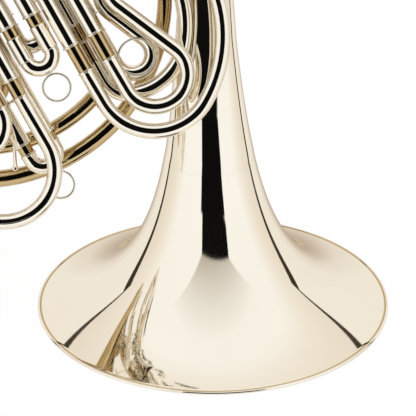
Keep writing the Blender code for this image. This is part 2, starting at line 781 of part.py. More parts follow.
def inner_return_path():
    """From the longer side's tuning slide up behind the valves to the change valve."""
    change = VALVE_N["change"]
    back = Path(Vector(INNER_FOOT) + Vector((0.0, FOURTH_GAP, 0.0))).turn(INNER_CORNER, SLIDE_HEADING + 180.0)
    points = [along(across_slides(back.end()), RETURN_S, 0.0), along(change, RETURN_S, 0.0),
              along(change, RETURN_S + RETURN_CLIMB, BACK_LEVEL),
              along(change, VALVE_S - CASING_RADIUS + ENTRY_BITE, BACK_LEVEL)]
    return back.corners(points, ENTRY_CORNER)


def inner_tubing():
    """The longer side's own tubing: out along the bottom, its tuning slide, and back."""
    change = VALVE_N["change"]
    foot = Vector(INNER_FOOT)
    out = Path(foot).turn(INNER_BOW, INNER_BOW_TURN)
    out.turn(INNER_CORNER, SLIDE_HEADING + 180.0 - INNER_BOW_TURN)
    points = [along(across_slides(out.end()), INNER_TURN_S, 0.0), along(change, INNER_TURN_S, BACK_LEVEL),
              along(change, VALVE_S + CASING_RADIUS - ENTRY_BITE, BACK_LEVEL)]
    out.corners(points, ENTRY_CORNER)
    ends = [(GAP, INNER_RADIUS), (out.length(), INNER_RADIUS)]
    trimmed(swept("inner_branch", out, ends, colour=GOLD), valve_space("change"))

    lower = Path(foot, 180.0).straight(FOURTH_SLEEVE)
    upper = Path(foot + Vector((0.0, FOURTH_GAP, 0.0)), 180.0).straight(FOURTH_SLEEVE)
    brace_u = Vector((-FOURTH_SLEEVE * 0.6, 0.0, 0.0))
    brace = stay(place(foot + brace_u), place(foot + brace_u + Vector((0.0, FOURTH_GAP, 0.0))))
    depth = FOURTH_INSERTION + FOURTH_SPARE
    fused(sleeve("f_tuning_sleeves", lower, depth), sleeve("upper", upper, depth), brace)
    legs = []
    for lift in (0.0, FOURTH_GAP):
        start = foot + Vector((FOURTH_INSERTION - FOURTH_SLEEVE, lift, 0.0))
        legs.append(Path(start, 180.0).straight(FOURTH_INSERTION + FOURTH_LEAD))
    crook("f_tuning_slide", legs[0].joined(legs[1]), FOURTH_INSERTION, FOURTH_NECK)

    back = inner_return_path()
    ends = [(GAP, INNER_RADIUS), (back.length(), INNER_RADIUS)]
    trimmed(swept("inner_return", back, ends, colour=GOLD), valve_space("change"))


def finger_levers():
    """Three levers on one shaft; each crank stands beside the end of its rod."""
    for name in ("first", "second", "third"):
        rod_n = VALVE_N[name] + ROD_OFFSET
        crank_n = rod_n - CRANK_OFFSET
        start, end = seat(rod_n, ROD_START, ROD_LEVEL), seat(rod_n, SHAFT_S - ROD_OVERRUN, ROD_LEVEL)
        bar(name + "_rod", start, end, W, ROD_WIDTH, ROD_THICKNESS, STEEL)
        tube = [(-HINGE_LENGTH / 2, HINGE_RADIUS), (HINGE_LENGTH / 2, HINGE_RADIUS),
                (HINGE_LENGTH / 2, HINGE_BORE), (-HINGE_LENGTH / 2, HINGE_BORE)]
        centre = seat(crank_n, SHAFT_S, SHAFT_LEVEL)
        lever = turned(name + "_lever", centre, N, W, tube, 12, closed=True)
        grip = (HINGE_RADIUS + HINGE_BORE) / 2
        tip = seat(crank_n, SHAFT_S, ROD_LEVEL - CRANK_OVERLAP)
        down = bar("crank", centre - W * grip, tip, S, CRANK_WIDTH, CRANK_THICKNESS)
        middle = centre - S * (PADDLE_REACH - PADDLE_LENGTH / 2)
        reach = bar("arm", centre - S * grip, middle, W, LEVER_WIDTH, LEVER_THICKNESS)
        paddle = plate("paddle", middle, S, W, PADDLE_LENGTH, PADDLE_WIDTH, LEVER_THICKNESS * PADDLE_SHARE)
        fused(lever, down, reach, paddle)
        spring(name + "_spring", seat(crank_n + HINGE_LENGTH / 2 + SPRING_GAP, SHAFT_S, SHAFT_LEVEL))


def spring(name, start):
    """A wound return spring round the lever shaft."""
    points = SPRING_POINTS * SPRING_TURNS
    knots = []
    for k in range(points + 1):
        turn = k * math.tau / SPRING_POINTS
        spoke = (S * math.cos(turn) + W * math.sin(turn)) * SPRING_RADIUS
        knots.append(start + spoke + N * SPRING_PITCH * k / SPRING_POINTS)
    bm = bmesh.new()
    rings = []
    for k, knot in enumerate(knots):
        run = (knots[min(k + 1, points)] - knots[max(k - 1, 0)]).normalized()
        rings.append(ring(bm, knot, run, N, SPRING_WIRE, 6))
    skin(bm, rings, False)
    least = SPRING_PITCH - 2 * SPRING_WIRE
    print(name, "least gap between turns", round(least * 1000, 2), "mm")
    return solid(name, bm, STEEL)


def post(start, foot):
    """A thin post with a thicker foot, to be cut to the tube it stands on."""
    run = foot - start
    flange = run.length - FLANGE_HEIGHT
    profile = [(0.0, POST_RADIUS), (flange, POST_RADIUS), (flange, FLANGE_RADIUS), (run.length, FLANGE_RADIUS)]
    return turned("post", start, run.normalized(), N, profile, 8)


def lever_bracket():
    """The finger levers' shaft on two posts that stand on the left bow."""
    low, high = LEVER_POSTS
    last = VALVE_N["third"] + ROD_OFFSET - CRANK_OFFSET + HINGE_LENGTH + SPRING_PITCH * SPRING_TURNS
    start, end = seat(low - POST_RADIUS, SHAFT_S, SHAFT_LEVEL), seat(last, SHAFT_S, SHAFT_LEVEL)
    shaft = rod("lever_bracket", start, end, W, SHAFT_RADIUS, 10)
    for n in (low, high):
        fused(shaft, post(seat(n, SHAFT_S, SHAFT_LEVEL), seat(n, LEVER_FOOT_S, LEVER_FOOT_LEVEL)))
    return trimmed(shaft, branch_space("left_bow"))


def thumb_seat(n, level=THUMB_SHAFT_LEVEL):
    """A point over the thumb lever's shaft."""
    return seat(n, THUMB_SHAFT_S, level)


def thumb_lever():
    """The change valve's rod, its long thumb lever behind the horn, and their bracket."""
    rod_n = VALVE_N["change"] + ROD_OFFSET
    crank_n = rod_n - CRANK_OFFSET
    rod_end = seat(rod_n, THUMB_SHAFT_S - ROD_OVERRUN, CHANGE_ROD_LEVEL)
    bar("change_rod", seat(rod_n, ROD_START, CHANGE_ROD_LEVEL), rod_end, W, ROD_WIDTH, ROD_THICKNESS, STEEL)
    start, end = THUMB_PADDLE_N - THUMB_TUBE_ENDS[0], rod_n + THUMB_TUBE_ENDS[1]
    length = end - start
    tube = [(0.0, HINGE_RADIUS), (length, HINGE_RADIUS), (length, HINGE_BORE), (0.0, HINGE_BORE)]
    lever = turned("thumb_lever", thumb_seat(start), N, W, tube, 12, closed=True)
    grip = (HINGE_RADIUS + HINGE_BORE) / 2
    foot, tip = thumb_seat(crank_n, THUMB_SHAFT_LEVEL + grip), thumb_seat(crank_n, CHANGE_ROD_LEVEL + CRANK_OVERLAP)
    up = bar("crank", foot, tip, S, CRANK_WIDTH, CRANK_THICKNESS)
    pivot = thumb_seat(THUMB_PADDLE_N)
    reach = bar("arm", pivot - S * grip, pivot - S * THUMB_REACH, W, LEVER_WIDTH, LEVER_THICKNESS)
    centre = pivot - S * THUMB_REACH
    paddle = plate("paddle", centre, N, W, PADDLE_LENGTH, PADDLE_WIDTH, LEVER_THICKNESS * PADDLE_SHARE)
    fused(lever, up, reach, paddle)

    low = start - POST_RADIUS - HINGE_BORE
    high = end + POST_RADIUS + HINGE_BORE
    shaft = rod("thumb_bracket", thumb_seat(low), thumb_seat(high), W, SHAFT_RADIUS, 10)
    near = post(thumb_seat(low), seat(low, RETURN_S, 0.0))
    knee = seat(high, RETURN_S, 0.0)
    far = rod("post", thumb_seat(high), knee + W * POST_RADIUS, N, POST_RADIUS)
    arm = rod("arm", knee, seat(VALVE_N["change"], RETURN_S, 0.0), W, POST_RADIUS * 0.9)
    fused(shaft, near, far, arm)
    path = inner_return_path()
    room = INNER_RADIUS + GAP
    trimmed(shaft, swept("space", path, [(0.0, room), (path.length(), room)]))


def finger_hook():
    """The little finger's hook, on the outside of the mouthpipe."""
    level = BACK_LEVEL
    points = [along(HOOK_N, HOOK_S, level), along(HOOK_N, HOOK_S, level + HOOK_OPENING),
              along(HOOK_N, HOOK_S + HOOK_LENGTH, level + HOOK_OPENING)]
    path = Path(along(HOOK_N, HOOK_ROOT_S, level))
    path.first = None
    path.corners(points, HOOK_CORNER)
    hook = swept("finger_hook", path, [(0.0, HOOK_RADIUS), (path.length(), HOOK_RADIUS)], 8, across=N)
    pipe = mouthpipe_path()
    room = [(0.0, MOUTHPIPE_END_RADIUS + GAP), (pipe.length(), MOUTHPIPE_TIP_RADIUS + GAP)]
    trimmed(hook, swept("space", pipe, room, 10))


def branch_brace():
    """The brace between the first valve's back slide and the branch below it."""
    slide = SLIDES["first_back"]
    n = slide["legs"][0]
    top = seat(n, BRACE_S, BACK_LEVEL)
    foot = along(n, BRACE_S, 0.0) + Vector((0.0, -BRACE_DROP, 0.0))
    brace = rod("branch_brace", top, place(foot), N, POST_RADIUS)
    start, end = seat(n, 0.0, BACK_LEVEL), seat(n, slide["mouth"], BACK_LEVEL)
    sleeve_space = rod("space", start, end, W, SLEEVE_RADIUS + GAP, SLIDE_SIDES)
    trimmed(brace, sleeve_space, branch_space("first_branch"))


def joint_points():
    """A point on the joint axis of each moving piece."""
    points = {}
    for name, n in VALVE_N.items():
        points[name + "_rotor"] = points[name + "_stop_arm"] = seat(n, VALVE_S, 0.0)
        level = CHANGE_ROD_LEVEL if name == "change" else ROD_LEVEL
        points[name + "_rod"] = seat(n + ROD_OFFSET, ROD_START, level)
        points[name + "_lever"] = seat(n + ROD_OFFSET - CRANK_OFFSET, SHAFT_S, SHAFT_LEVEL)
    for name, slide in SLIDES.items():
        points[name + "_slide"] = seat(slide["legs"][0], slide["mouth"], slide["level"])
    points["thumb_lever"] = thumb_seat(THUMB_PADDLE_N)
    points["main_tuning_slide"] = seat(MAIN_MOUTH_N, VALVE_S, BACK_LEVEL)
    points["f_tuning_slide"] = place(Vector(INNER_FOOT) - Vector((FOURTH_SLEEVE, 0.0, 0.0)))
    points["second_pull_ring"] = points["second_front_slide"]
    points["first_pull_ring"] = points["first_back_slide"]
    points["third_pull_ring"] = points["third_back_slide"]
    return points


def empty_root(pieces):
    """Sets the whole horn over the middle of its own base, by one shared parent."""
    corners = [v.co for piece in pieces for v in piece.data.vertices]
    low = [min(c[k] for c in corners) for k in range(3)]
    high = [max(c[k] for c in corners) for k in range(3)]
    root = bpy.data.objects.new("root", None)
    bpy.context.scene.collection.objects.link(root)
    root.location = (-(low[0] + high[0]) / 2, -(low[1] + high[1]) / 2, -low[2])
    points = joint_points()
    for piece in pieces:
        if piece.name in points:
            piece.location = points[piece.name]
            piece.data.transform(Matrix.Translation(-points[piece.name]))
        piece.parent = root
    print("root", [round(c, 5) for c in root.location], "size", [round(h - l, 4) for l, h in zip(low, high)])


def build():
    for old in list(bpy.data.objects):
        bpy.data.objects.remove(old)
    bell_flare()
    branch_tubes()
    for name in VALVE_N:
        valve(name, CHANGE_ROD_LEVEL if name == "change" else ROD_LEVEL)
    valve_slides()
    end_ring("second_pull_ring", SLIDES["second_front"])
    end_ring("first_pull_ring", SLIDES["first_back"])
    ring_level = BACK_LEVEL + CROOK_RADIUS + PULL_WIRE + GAP
    pull_ring("third_pull_ring", seat(*THIRD_RING_AT, ring_level), THIRD_RING_RADIUS)
    main_tuning()
    inner_tubing()
    finger_levers()
    lever_bracket()
    thumb_lever()
    finger_hook()
    branch_brace()
    empty_root([o for o in bpy.data.objects if o.type == "MESH"])


build()
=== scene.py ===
# %% [markdown]
# # A double french horn on its bell rim
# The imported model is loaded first, as a fixed frame of plain solids. Each tube is
# then drawn again with smooth bends and rounded rings, in exactly the place of its
# solid, because polished metal shows every flat facet as a broken reflection.

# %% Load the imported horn
import json
import math

import bmesh
import bpy
from mathutils import Matrix, Vector


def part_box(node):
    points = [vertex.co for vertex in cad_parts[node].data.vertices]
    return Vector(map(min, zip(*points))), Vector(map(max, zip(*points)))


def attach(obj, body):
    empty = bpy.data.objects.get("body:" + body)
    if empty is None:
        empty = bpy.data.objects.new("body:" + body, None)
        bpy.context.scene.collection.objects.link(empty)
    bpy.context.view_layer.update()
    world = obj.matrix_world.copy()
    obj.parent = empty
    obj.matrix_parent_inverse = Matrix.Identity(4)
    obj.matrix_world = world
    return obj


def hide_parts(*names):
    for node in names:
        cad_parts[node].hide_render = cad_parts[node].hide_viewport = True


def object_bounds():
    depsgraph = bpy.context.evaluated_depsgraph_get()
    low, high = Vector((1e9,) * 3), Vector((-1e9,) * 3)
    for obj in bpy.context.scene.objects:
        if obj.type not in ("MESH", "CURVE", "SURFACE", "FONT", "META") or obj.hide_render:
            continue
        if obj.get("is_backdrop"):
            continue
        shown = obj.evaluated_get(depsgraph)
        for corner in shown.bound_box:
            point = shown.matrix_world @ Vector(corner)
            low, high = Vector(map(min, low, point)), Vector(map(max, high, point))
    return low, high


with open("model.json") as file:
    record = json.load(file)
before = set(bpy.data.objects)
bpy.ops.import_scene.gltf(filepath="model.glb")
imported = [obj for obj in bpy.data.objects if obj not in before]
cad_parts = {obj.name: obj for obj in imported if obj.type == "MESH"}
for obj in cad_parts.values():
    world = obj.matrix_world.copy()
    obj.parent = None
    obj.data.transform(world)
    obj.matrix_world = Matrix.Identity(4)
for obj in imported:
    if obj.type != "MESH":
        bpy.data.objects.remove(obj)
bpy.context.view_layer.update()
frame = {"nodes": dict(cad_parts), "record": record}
BODY_OF = {node: body for body, nodes in frame["record"]["behaviour"]["bodies"].items() for node in nodes}

# %% [markdown]
# The camera comes first, so that every later choice is seen from it. The photograph
# looks down at the horn from in front by about 28 degrees, from far off, and shows
# the bell with the slides beside it. A long lens keeps its nearly level lines.

# %% Camera
CAMERA_RISE = math.radians(28.2)
CAMERA_DISTANCE = 2.5
FRAME_WIDTH = 0.3609
LOOK_AT = Vector((0.1369, 0.0, 0.095))

TO_CAMERA = Vector((0.0, -math.cos(CAMERA_RISE), math.sin(CAMERA_RISE)))
lens = bpy.data.cameras.new("camera")
lens.sensor_width = 36.0
lens.lens = lens.sensor_width * CAMERA_DISTANCE / FRAME_WIDTH
camera = bpy.data.objects.new("camera", lens)
camera.location = LOOK_AT + TO_CAMERA * CAMERA_DISTANCE
camera.rotation_euler = TO_CAMERA.to_track_quat("Z", "Y").to_euler()
bpy.context.scene.collection.objects.link(camera)
bpy.context.scene.camera = camera
bpy.context.scene.view_settings.view_transform = "Standard"
print("camera at", [round(c, 3) for c in camera.location])

# %% [markdown]
# Shader maths is easier to read as sums than as boxes. This small class wraps a
# socket, so that an expression such as 1 - mask adds its Math node by itself.

# %% A socket that does sums
class Socket:
    def __init__(self, tree, out):
        self.tree, self.out = tree, out

    def maths(self, operation, *terms):
        made = self.tree.nodes.new("ShaderNodeMath")
        made.operation = operation
        for slot, term in zip(made.inputs, terms):
            plug(self.tree, slot, term)
        return Socket(self.tree, made.outputs[0])

    def __add__(self, other):
        return self.maths("ADD", self, other)

    def __sub__(self, other):
        return self.maths("SUBTRACT", self, other)

    def __rsub__(self, other):
        return self.maths("SUBTRACT", other, self)

    def __mul__(self, other):
        return self.maths("MULTIPLY", self, other)

    def __truediv__(self, other):
        return self.maths("DIVIDE", self, other)

    def __gt__(self, other):
        return self.maths("GREATER_THAN", self, other)

    def __lt__(self, other):
        return self.maths("LESS_THAN", self, other)

    __radd__ = __add__
    __rmul__ = __mul__


def plug(tree, slot, term):
    """Links a Socket to a node's input, or sets a plain value there."""
    if isinstance(term, Socket):
        tree.links.new(term.out, slot)
    else:
        slot.default_value = term


class Nodes:
    """The nodes of one material or of the world."""

    def __init__(self, tree):
        self.tree = tree
        tree.nodes.clear()

    def node(self, kind, settings=None, output=0, **inputs):
        """Adds a node: its settings first, then the values or links of its sockets."""
        made = self.tree.nodes.new(kind)
        for key, value in (settings or {}).items():
            if key == "stops":
                ramp = made.color_ramp
                while len(ramp.elements) < len(value):
                    ramp.elements.new(0.5)
                for stop, (place_at, colour) in zip(ramp.elements, value):
                    stop.position, stop.color = place_at, (*colour, 1.0)
            else:
                setattr(made, key, value)
        for key, value in inputs.items():
            plug(self.tree, made.inputs[key.replace("_", " ")], value)
        return Socket(self.tree, made.outputs[output]) if len(made.outputs) else made

    def blend(self, factor, first, second):
        """A colour between two others."""
        made = self.tree.nodes.new("ShaderNodeMix")
        made.data_type = "RGBA"
        for slot, value in ((0, factor), (6, first), (7, second)):
            plug(self.tree, made.inputs[slot], value if isinstance(value, (Socket, float)) else (*value, 1.0))
        return Socket(self.tree, made.outputs[2])

    def mixed(self, factor, first, second):
        """A shader between two others."""
        made = self.tree.nodes.new("ShaderNodeMixShader")
        for slot, value in zip(made.inputs, (factor, first, second)):
            plug(self.tree, slot, value)
        return Socket(self.tree, made.outputs[0])


print("sockets ready")

# %% [markdown]
# A real horn is lacquered or plated metal, buffed until it mirrors the room. What
# breaks the mirror is slight: the tone drifts over a hand's width, the polish is
# hazier where hands hold it, and the buffing wheel leaves hair lines. Each finish
# below mixes two tones by a slow noise, varies the roughness by a finer one, and
# warms the raised edges, where the lacquer is thinnest.

# %% Metal finishes
def metal(name, tone, warm, roughness, haze, brushed=0.0):
    """A polished metal whose tone, haze and hair lines vary."""
    made = bpy.data.materials.new(name)
    made.use_nodes = True
    n = Nodes(made.node_tree)
    where = n.node("ShaderNodeTexCoord", output=3)
    drift = n.node("ShaderNodeTexNoise", Vector=where, Scale=9.0, Detail=3.0)
    hands = n.node("ShaderNodeTexNoise", Vector=where, Scale=38.0, Detail=4.0, Roughness=0.6)
    edge = n.node("ShaderNodeNewGeometry", output=7)
    worn = n.node("ShaderNodeMapRange", {"clamp": True}, Value=edge, From_Min=0.53, From_Max=0.62)
    colour = n.blend(drift * 0.9, tone, warm)
    colour = n.blend(worn * 0.35, colour, warm)
    stretched = n.node("ShaderNodeMapping", Vector=where, Scale=(1.0, 1.0, 14.0))
    hairs = n.node("ShaderNodeTexNoise", Vector=stretched, Scale=420.0, Detail=2.0)
    normal = n.node("ShaderNodeBump", Strength=brushed, Distance=0.00005, Height=hairs)
    shader = n.node("ShaderNodeBsdfPrincipled", Base_Color=colour, Metallic=1.0,
                    Roughness=roughness + hands * haze + worn * 0.03, Normal=normal)
    n.node("ShaderNodeOutputMaterial", Surface=shader)
    return made


silver = metal("nickel_silver", (0.975, 0.935, 0.850), (0.900, 0.830, 0.700), 0.020, 0.030, 0.05)
gold = metal("gold_brass", (0.640, 0.500, 0.290), (0.540, 0.390, 0.190), 0.030, 0.040, 0.06)
steel = metal("spring_steel", (0.620, 0.620, 0.600), (0.520, 0.500, 0.460), 0.160, 0.120, 0.25)

# %% [markdown]
# The stop arm of each valve knocks against two bumpers. They are cork or rubber,
# which is what makes the action silent, so they are dull and slightly pitted.

# %% Bumper rubber
rubber = bpy.data.materials.new("bumper_rubber")
rubber.use_nodes = True
n = Nodes(rubber.node_tree)
where = n.node("ShaderNodeTexCoord", output=3)
pits = n.node("ShaderNodeTexNoise", Vector=where, Scale=900.0, Detail=3.0)
pitted = n.node("ShaderNodeBump", Strength=0.4, Distance=0.0001, Height=pits)
tone = n.blend(pits, (0.018, 0.017, 0.016), (0.045, 0.040, 0.036))
dull = n.node("ShaderNodeBsdfPrincipled", Base_Color=tone, Roughness=0.6 + pits * 0.25, Normal=pitted)
n.node("ShaderNodeOutputMaterial", Surface=dull)
print("rubber ready")

# %% [markdown]
# Every tube lies on one leaning plane. A point on it is u to the right, v up the
# plane and w out of its front; the valve slides have their own directions in it,
# n across and s along them. These are the sizes that the solids were made from.

# %% The body plane
HORN_SHIFT = Vector((0.14126, 0.0, 0.0))
LEAN_BACK = math.radians(20.0)
PLANE_HEIGHT = 0.200
SLIDE_HEADING = -60.9
SLIDE_U, SLIDE_V = -0.1848, 0.0952
BODY_U, BODY_V = -0.1987, 0.0889
GAP = 0.0003

U = Vector((1.0, 0.0, 0.0))
V = Vector((0.0, math.sin(LEAN_BACK), math.cos(LEAN_BACK)))
W = Vector((0.0, -math.cos(LEAN_BACK), math.sin(LEAN_BACK)))
S_TURN = math.radians(SLIDE_HEADING)
S = U * math.cos(S_TURN) + V * math.sin(S_TURN)
N = U * -math.sin(S_TURN) + V * math.cos(S_TURN)
UP = Vector((0.0, 0.0, 1.0))


def place(point):
    """A point (u, v, w) of the body plane, in space."""
    return HORN_SHIFT + UP * PLANE_HEIGHT + U * point[0] + V * point[1] + W * point[2]


def along(across, out, level):
    """A point of the slides' own directions, as (u, v, w)."""
    u = SLIDE_U - across * math.sin(S_TURN) + out * math.cos(S_TURN)
    return Vector((u, SLIDE_V + across * math.cos(S_TURN) + out * math.sin(S_TURN), level))


def seat(across, out, level):
    """The same point, in space."""
    return place(along(across, out, level))


print("slides run along", [round(c, 3) for c in S])

# %% [markdown]
# A horn maker bends tube round formers, so a tube's centreline is only straight
# runs and arcs. The route below is drawn the same way, with a knot every few
# degrees, which is fine enough for a mirror finish.

# %% Centrelines
FINE_STEP = 4.0


class Route:
    def __init__(self, point, heading=0.0):
        self.knots = [Vector(point)]
        self.first = self.heading = heading

    def end(self):
        return self.knots[-1]

    def ahead(self, heading=None):
        turn = math.radians(self.heading if heading is None else heading)
        return Vector((math.cos(turn), math.sin(turn), 0.0))

    def straight(self, length):
        if length > 1e-7:
            self.knots.append(self.end() + self.ahead() * length)
        return self

    def turn(self, radius, degrees, climb=0.0):
        steps = max(4, math.ceil(abs(degrees) / FINE_STEP))
        side = math.copysign(90.0, degrees)
        start = self.end()
        centre = start + self.ahead(self.heading + side) * radius
        for k in range(1, steps + 1):
            share = k / steps
            knot = centre + self.ahead(self.heading - side + degrees * share) * radius
            knot.z = start.z + climb * share * share * (3.0 - 2.0 * share)
            self.knots.append(knot)
        self.heading += degrees
        return self

    def run_on(self, steps):
        for step in steps:
            if isinstance(step, tuple):
                self.turn(*step)
            else:
                self.straight(step)
        return self

    def corners(self, points, radius, steps=12):
        """Runs on through the points, with each corner but the last one rounded."""
        for k, point in enumerate(points[:-1]):
            before = (point - self.end()).normalized()
            after = (points[k + 1] - point).normalized()
            bend = before.angle(after)
            centre = point + (after - before).normalized() * radius / math.cos(bend / 2)
            spoke = point - before * radius * math.tan(bend / 2) - centre
            for j in range(steps + 1):
                self.knots.append(centre + Matrix.Rotation(bend * j / steps, 3, before.cross(after)) @ spoke)
        self.knots.append(points[-1].copy())
        self.heading = None
        return self

    def joined(self, other):
        """Runs round one bend into the end of another route, walked backwards."""
        here, there = self.ahead(), other.ahead()
        gap = other.end() - self.end()
        cross = here.x * -there.y + here.y * there.x
        if abs(cross) < 1e-4:
            lead = gap.dot(here)
            self.straight(max(lead, 0.0))
            other.straight(max(-lead, 0.0))
            gap = other.end() - self.end()
            self.turn(gap.length / 2, math.copysign(180.0, here.x * gap.y - here.y * gap.x))
        else:
            to_corner = (gap.x * there.y - gap.y * there.x) / -cross
            from_corner = (gap.x * here.y - gap.y * here.x) / -cross
            tangent = min(to_corner, from_corner)
            bend = math.degrees(math.acos(max(-1.0, min(1.0, -here.dot(there)))))
            self.straight(to_corner - tangent)
            other.straight(from_corner - tangent)
            self.turn(tangent / math.tan(math.radians(bend / 2)), math.copysign(bend, cross))
        self.knots.pop()
        self.knots += list(reversed(other.knots))
        self.heading = other.first + 180.0
        return self

    def marks(self):
        found = [0.0]
        for a, b in zip(self.knots, self.knots[1:]):
            found.append(found[-1] + (b - a).length)
        return found

    def length(self):
        return self.marks()[-1]


print("knots in a half bow:", len(Route((0, 0, 0)).turn(0.1, 180.0).knots))

# %% [markdown]
# A tube is a round section carried along its route, and its rings and ferrules are
# steps in the section's radius. Turned metal has no knife edges, so each corner of
# the section's outline is eased into a small curve that can catch a highlight.

# %% Tubes and turned shapes
EASE = 0.0005
ROUND_SIDES = 36


def eased(profile, amount=EASE):
    """The same outline with its corners rounded."""
    points = [Vector(p) for p in profile]
    found = [points[0]]
    for before, here, after in zip(points, points[1:], points[2:]):
        back, on = before - here, after - here
        if back.length < 1e-6 or on.length < 1e-6 or back.angle(on) > math.radians(150.0):
            found.append(here)
            continue
        reach = min(amount, back.length * 0.45, on.length * 0.45)
        first, last = here + back.normalized() * reach, here + on.normalized() * reach
        found += [first, here * 0.5 + (first + last) * 0.25, last]
    return [tuple(p) for p in found + [points[-1]]]


def ring(bm, centre, axis, across, radius, sides):
    side = axis.cross(across).normalized()
    up = side.cross(axis).normalized()
    turns = [(k + 0.5) * math.tau / sides for k in range(sides)]
    return [bm.verts.new(centre + (side * math.cos(t) + up * math.sin(t)) * radius) for t in turns]


def skin(bm, rings, closed=False, tints=None):
    """Joins rings into one surface; tints gives the material of each strip."""
    pairs = list(zip(rings, rings[1:])) + ([(rings[-1], rings[0])] if closed else [])
    for strip, (low, high) in enumerate(pairs):
        for k in range(len(low)):
            j = (k + 1) % len(low)
            face = bm.faces.new((low[k], low[j], high[j], high[k]))
            face.material_index = tints[strip] if tints else 0
    if not closed:
        bm.faces.new(list(reversed(rings[0])))
        bm.faces.new(rings[-1])


def stations(marks, profile):
    """The outline's own points, with the route's knots between them."""
    found = []
    for (d0, r0), (d1, r1) in zip(profile, profile[1:]):
        found.append((d0, r0))
        between = [m for m in marks if min(d0, d1) + 1e-4 < m < max(d0, d1) - 1e-4]
        for mark in sorted(between, reverse=d1 < d0):
            found.append((mark, r0 + (r1 - r0) * (mark - d0) / (d1 - d0)))
    return found + [profile[-1]]


def tube(bm, route, profile, sides=ROUND_SIDES, across=W, bare=()):
    """Adds a tube to a mesh; bare lists the stretches that show the second metal."""
    knots = [place(k) for k in route.knots]
    marks = route.marks()
    runs = [(b - a).normalized() for a, b in zip(knots, knots[1:])]
    rings, middles = [], []
    for distance, radius in stations(marks, profile):
        k = max(i for i in range(len(runs)) if marks[i] <= distance + 1e-5 or i == 0)
        tangent = runs[k]
        if k and distance - marks[k] < 1e-4:
            tangent = (runs[k - 1] + runs[k]).normalized()
        elif k + 1 < len(runs) and marks[k + 1] - distance < 1e-4:
            tangent = (runs[k] + runs[k + 1]).normalized()
        rings.append(ring(bm, knots[k] + runs[k] * (distance - marks[k]), tangent, across, radius, sides))
        middles.append(distance)
    tints = [int(any(a - 1e-4 < (d0 + d1) / 2 < b for a, b in bare)) for d0, d1 in zip(middles, middles[1:])]
    skin(bm, rings, tints=tints)


def turned(bm, origin, axis, across, profile, sides=ROUND_SIDES):
    """Adds a shape turned about an axis; the outline lists (distance, radius)."""
    skin(bm, [ring(bm, origin + axis * d, axis, across, r, sides) for d, r in profile])


def rod(bm, start, finish, across, radius, sides=20):
    run = finish - start
    core, end = radius * 0.2, run.length
    outline = eased([(0.0, core), (0.0, radius), (end, radius), (end, core)], 0.0003)
    turned(bm, start, run.normalized(), across, outline, sides)


def finished(node, bm, *metals):
    """Makes the mesh a piece that stands for a CAD node and rides on its body."""
    bmesh.ops.recalc_face_normals(bm, faces=bm.faces)
    mesh = bpy.data.meshes.new(node + "_polished")
    bm.to_mesh(mesh)
    bm.free()
    for made in metals:
        mesh.materials.append(made)
    mesh.shade_smooth()
    mesh.set_sharp_from_angle(angle=math.radians(62.0))
    piece = bpy.data.objects.new(node + "_polished", mesh)
    bpy.context.scene.collection.objects.link(piece)
    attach(piece, BODY_OF[node])
    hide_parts(node)
    return piece


print("tools ready")

# %% [markdown]
# The bell is one sheet spun over a mandrel, so it is a single curve turned about
# its axis, with a wire rolled into its edge. It tapers on through the tail and the
# whole branch by the same law, which is why one function gives every radius. The
# solid's rim has flat sides, and the round one here fits inside them. The seam where
# the wire meets the sheet takes the darker, warmer gold finish.

# %% Bell flare
RIM_RADIUS = 0.155
RIM_SIDES = 36
RIM_EDGE = RIM_RADIUS * math.cos(math.pi / RIM_SIDES)
RIM_BEAD = 0.0013
RIM_FLAT = 0.0030
SEAM_STRIPS = 3
FLARE_OFFSET = 0.041
FLARE_POWER = 0.91
BELL_WALL = 0.0012
BELL_LEAN = 0.0213
FLARE_HEIGHT = 0.147
FLARE_RINGS = 72


def flare_radius(distance):
    """Outer radius of bell and branch, by distance from the rim."""
    return RIM_RADIUS * ((distance + FLARE_OFFSET) / FLARE_OFFSET) ** -FLARE_POWER


bm = bmesh.new()
outer, inner = [], []
for k in range(FLARE_RINGS + 1):
    height = max(FLARE_HEIGHT * (k / FLARE_RINGS) ** 1.8, 0.0004)
    radius = flare_radius(height)
    slope = FLARE_POWER * radius / (height + FLARE_OFFSET)
    tilt = math.hypot(1.0, slope)
    lift = RIM_BEAD * (1.0 - height / FLARE_HEIGHT)
    sunk = BELL_WALL * slope / tilt * (1.0 - k / FLARE_RINGS)
    outer.append((height + lift, radius))
    inner.append((height + lift - sunk, radius - BELL_WALL / tilt))
bead = []
for k in range(17):
    turn = math.radians(150.0 - 15.0 * k)
    bead.append((RIM_BEAD * (1.0 + math.sin(turn)), RIM_EDGE - RIM_BEAD + RIM_BEAD * math.cos(turn)))
foot = RIM_EDGE - RIM_BEAD - RIM_FLAT
sheet_side = [point for point in reversed(outer) if point[1] < bead[0][1]]
outline = sheet_side + bead + [(0.0, foot)] + [point for point in inner if point[1] < foot]
seam = range(len(sheet_side) - 1, len(sheet_side) + SEAM_STRIPS)
middle = Vector((HORN_SHIFT.x, 0.0, 0.0))
rings = [ring(bm, middle + Vector((-BELL_LEAN * h, 0.0, h)), UP, V, r, 180) for h, r in outline]
skin(bm, rings, closed=True, tints=[int(strip in seam) for strip in range(len(rings))])
bell = finished("bell_flare", bm, silver, gold)
print("bell", len(bell.data.vertices), "points, rim radius", RIM_RADIUS)

# %% [markdown]
# The branch is four tapered tubes soldered end to end. Each later tube begins with
# a ferrule, a short outer ring that hides the joint. It runs up from the bell, over
# the top, down the left, back along the bottom and into the change valve.

# %% Bell branch
TAIL_U = -0.0062
TAIL_LEAD = 0.003
BRANCH_RADIUS = 0.158
LOWER_BOW_RADIUS = 0.170
FERRULE_LENGTH = 0.016
FERRULE_STEP = 0.0009
BRANCH_RISE = 0.0414
BRANCH_ENTRY_BEND = 0.040
BACK_LEVEL, FRONT_LEVEL = 0.028, 0.044


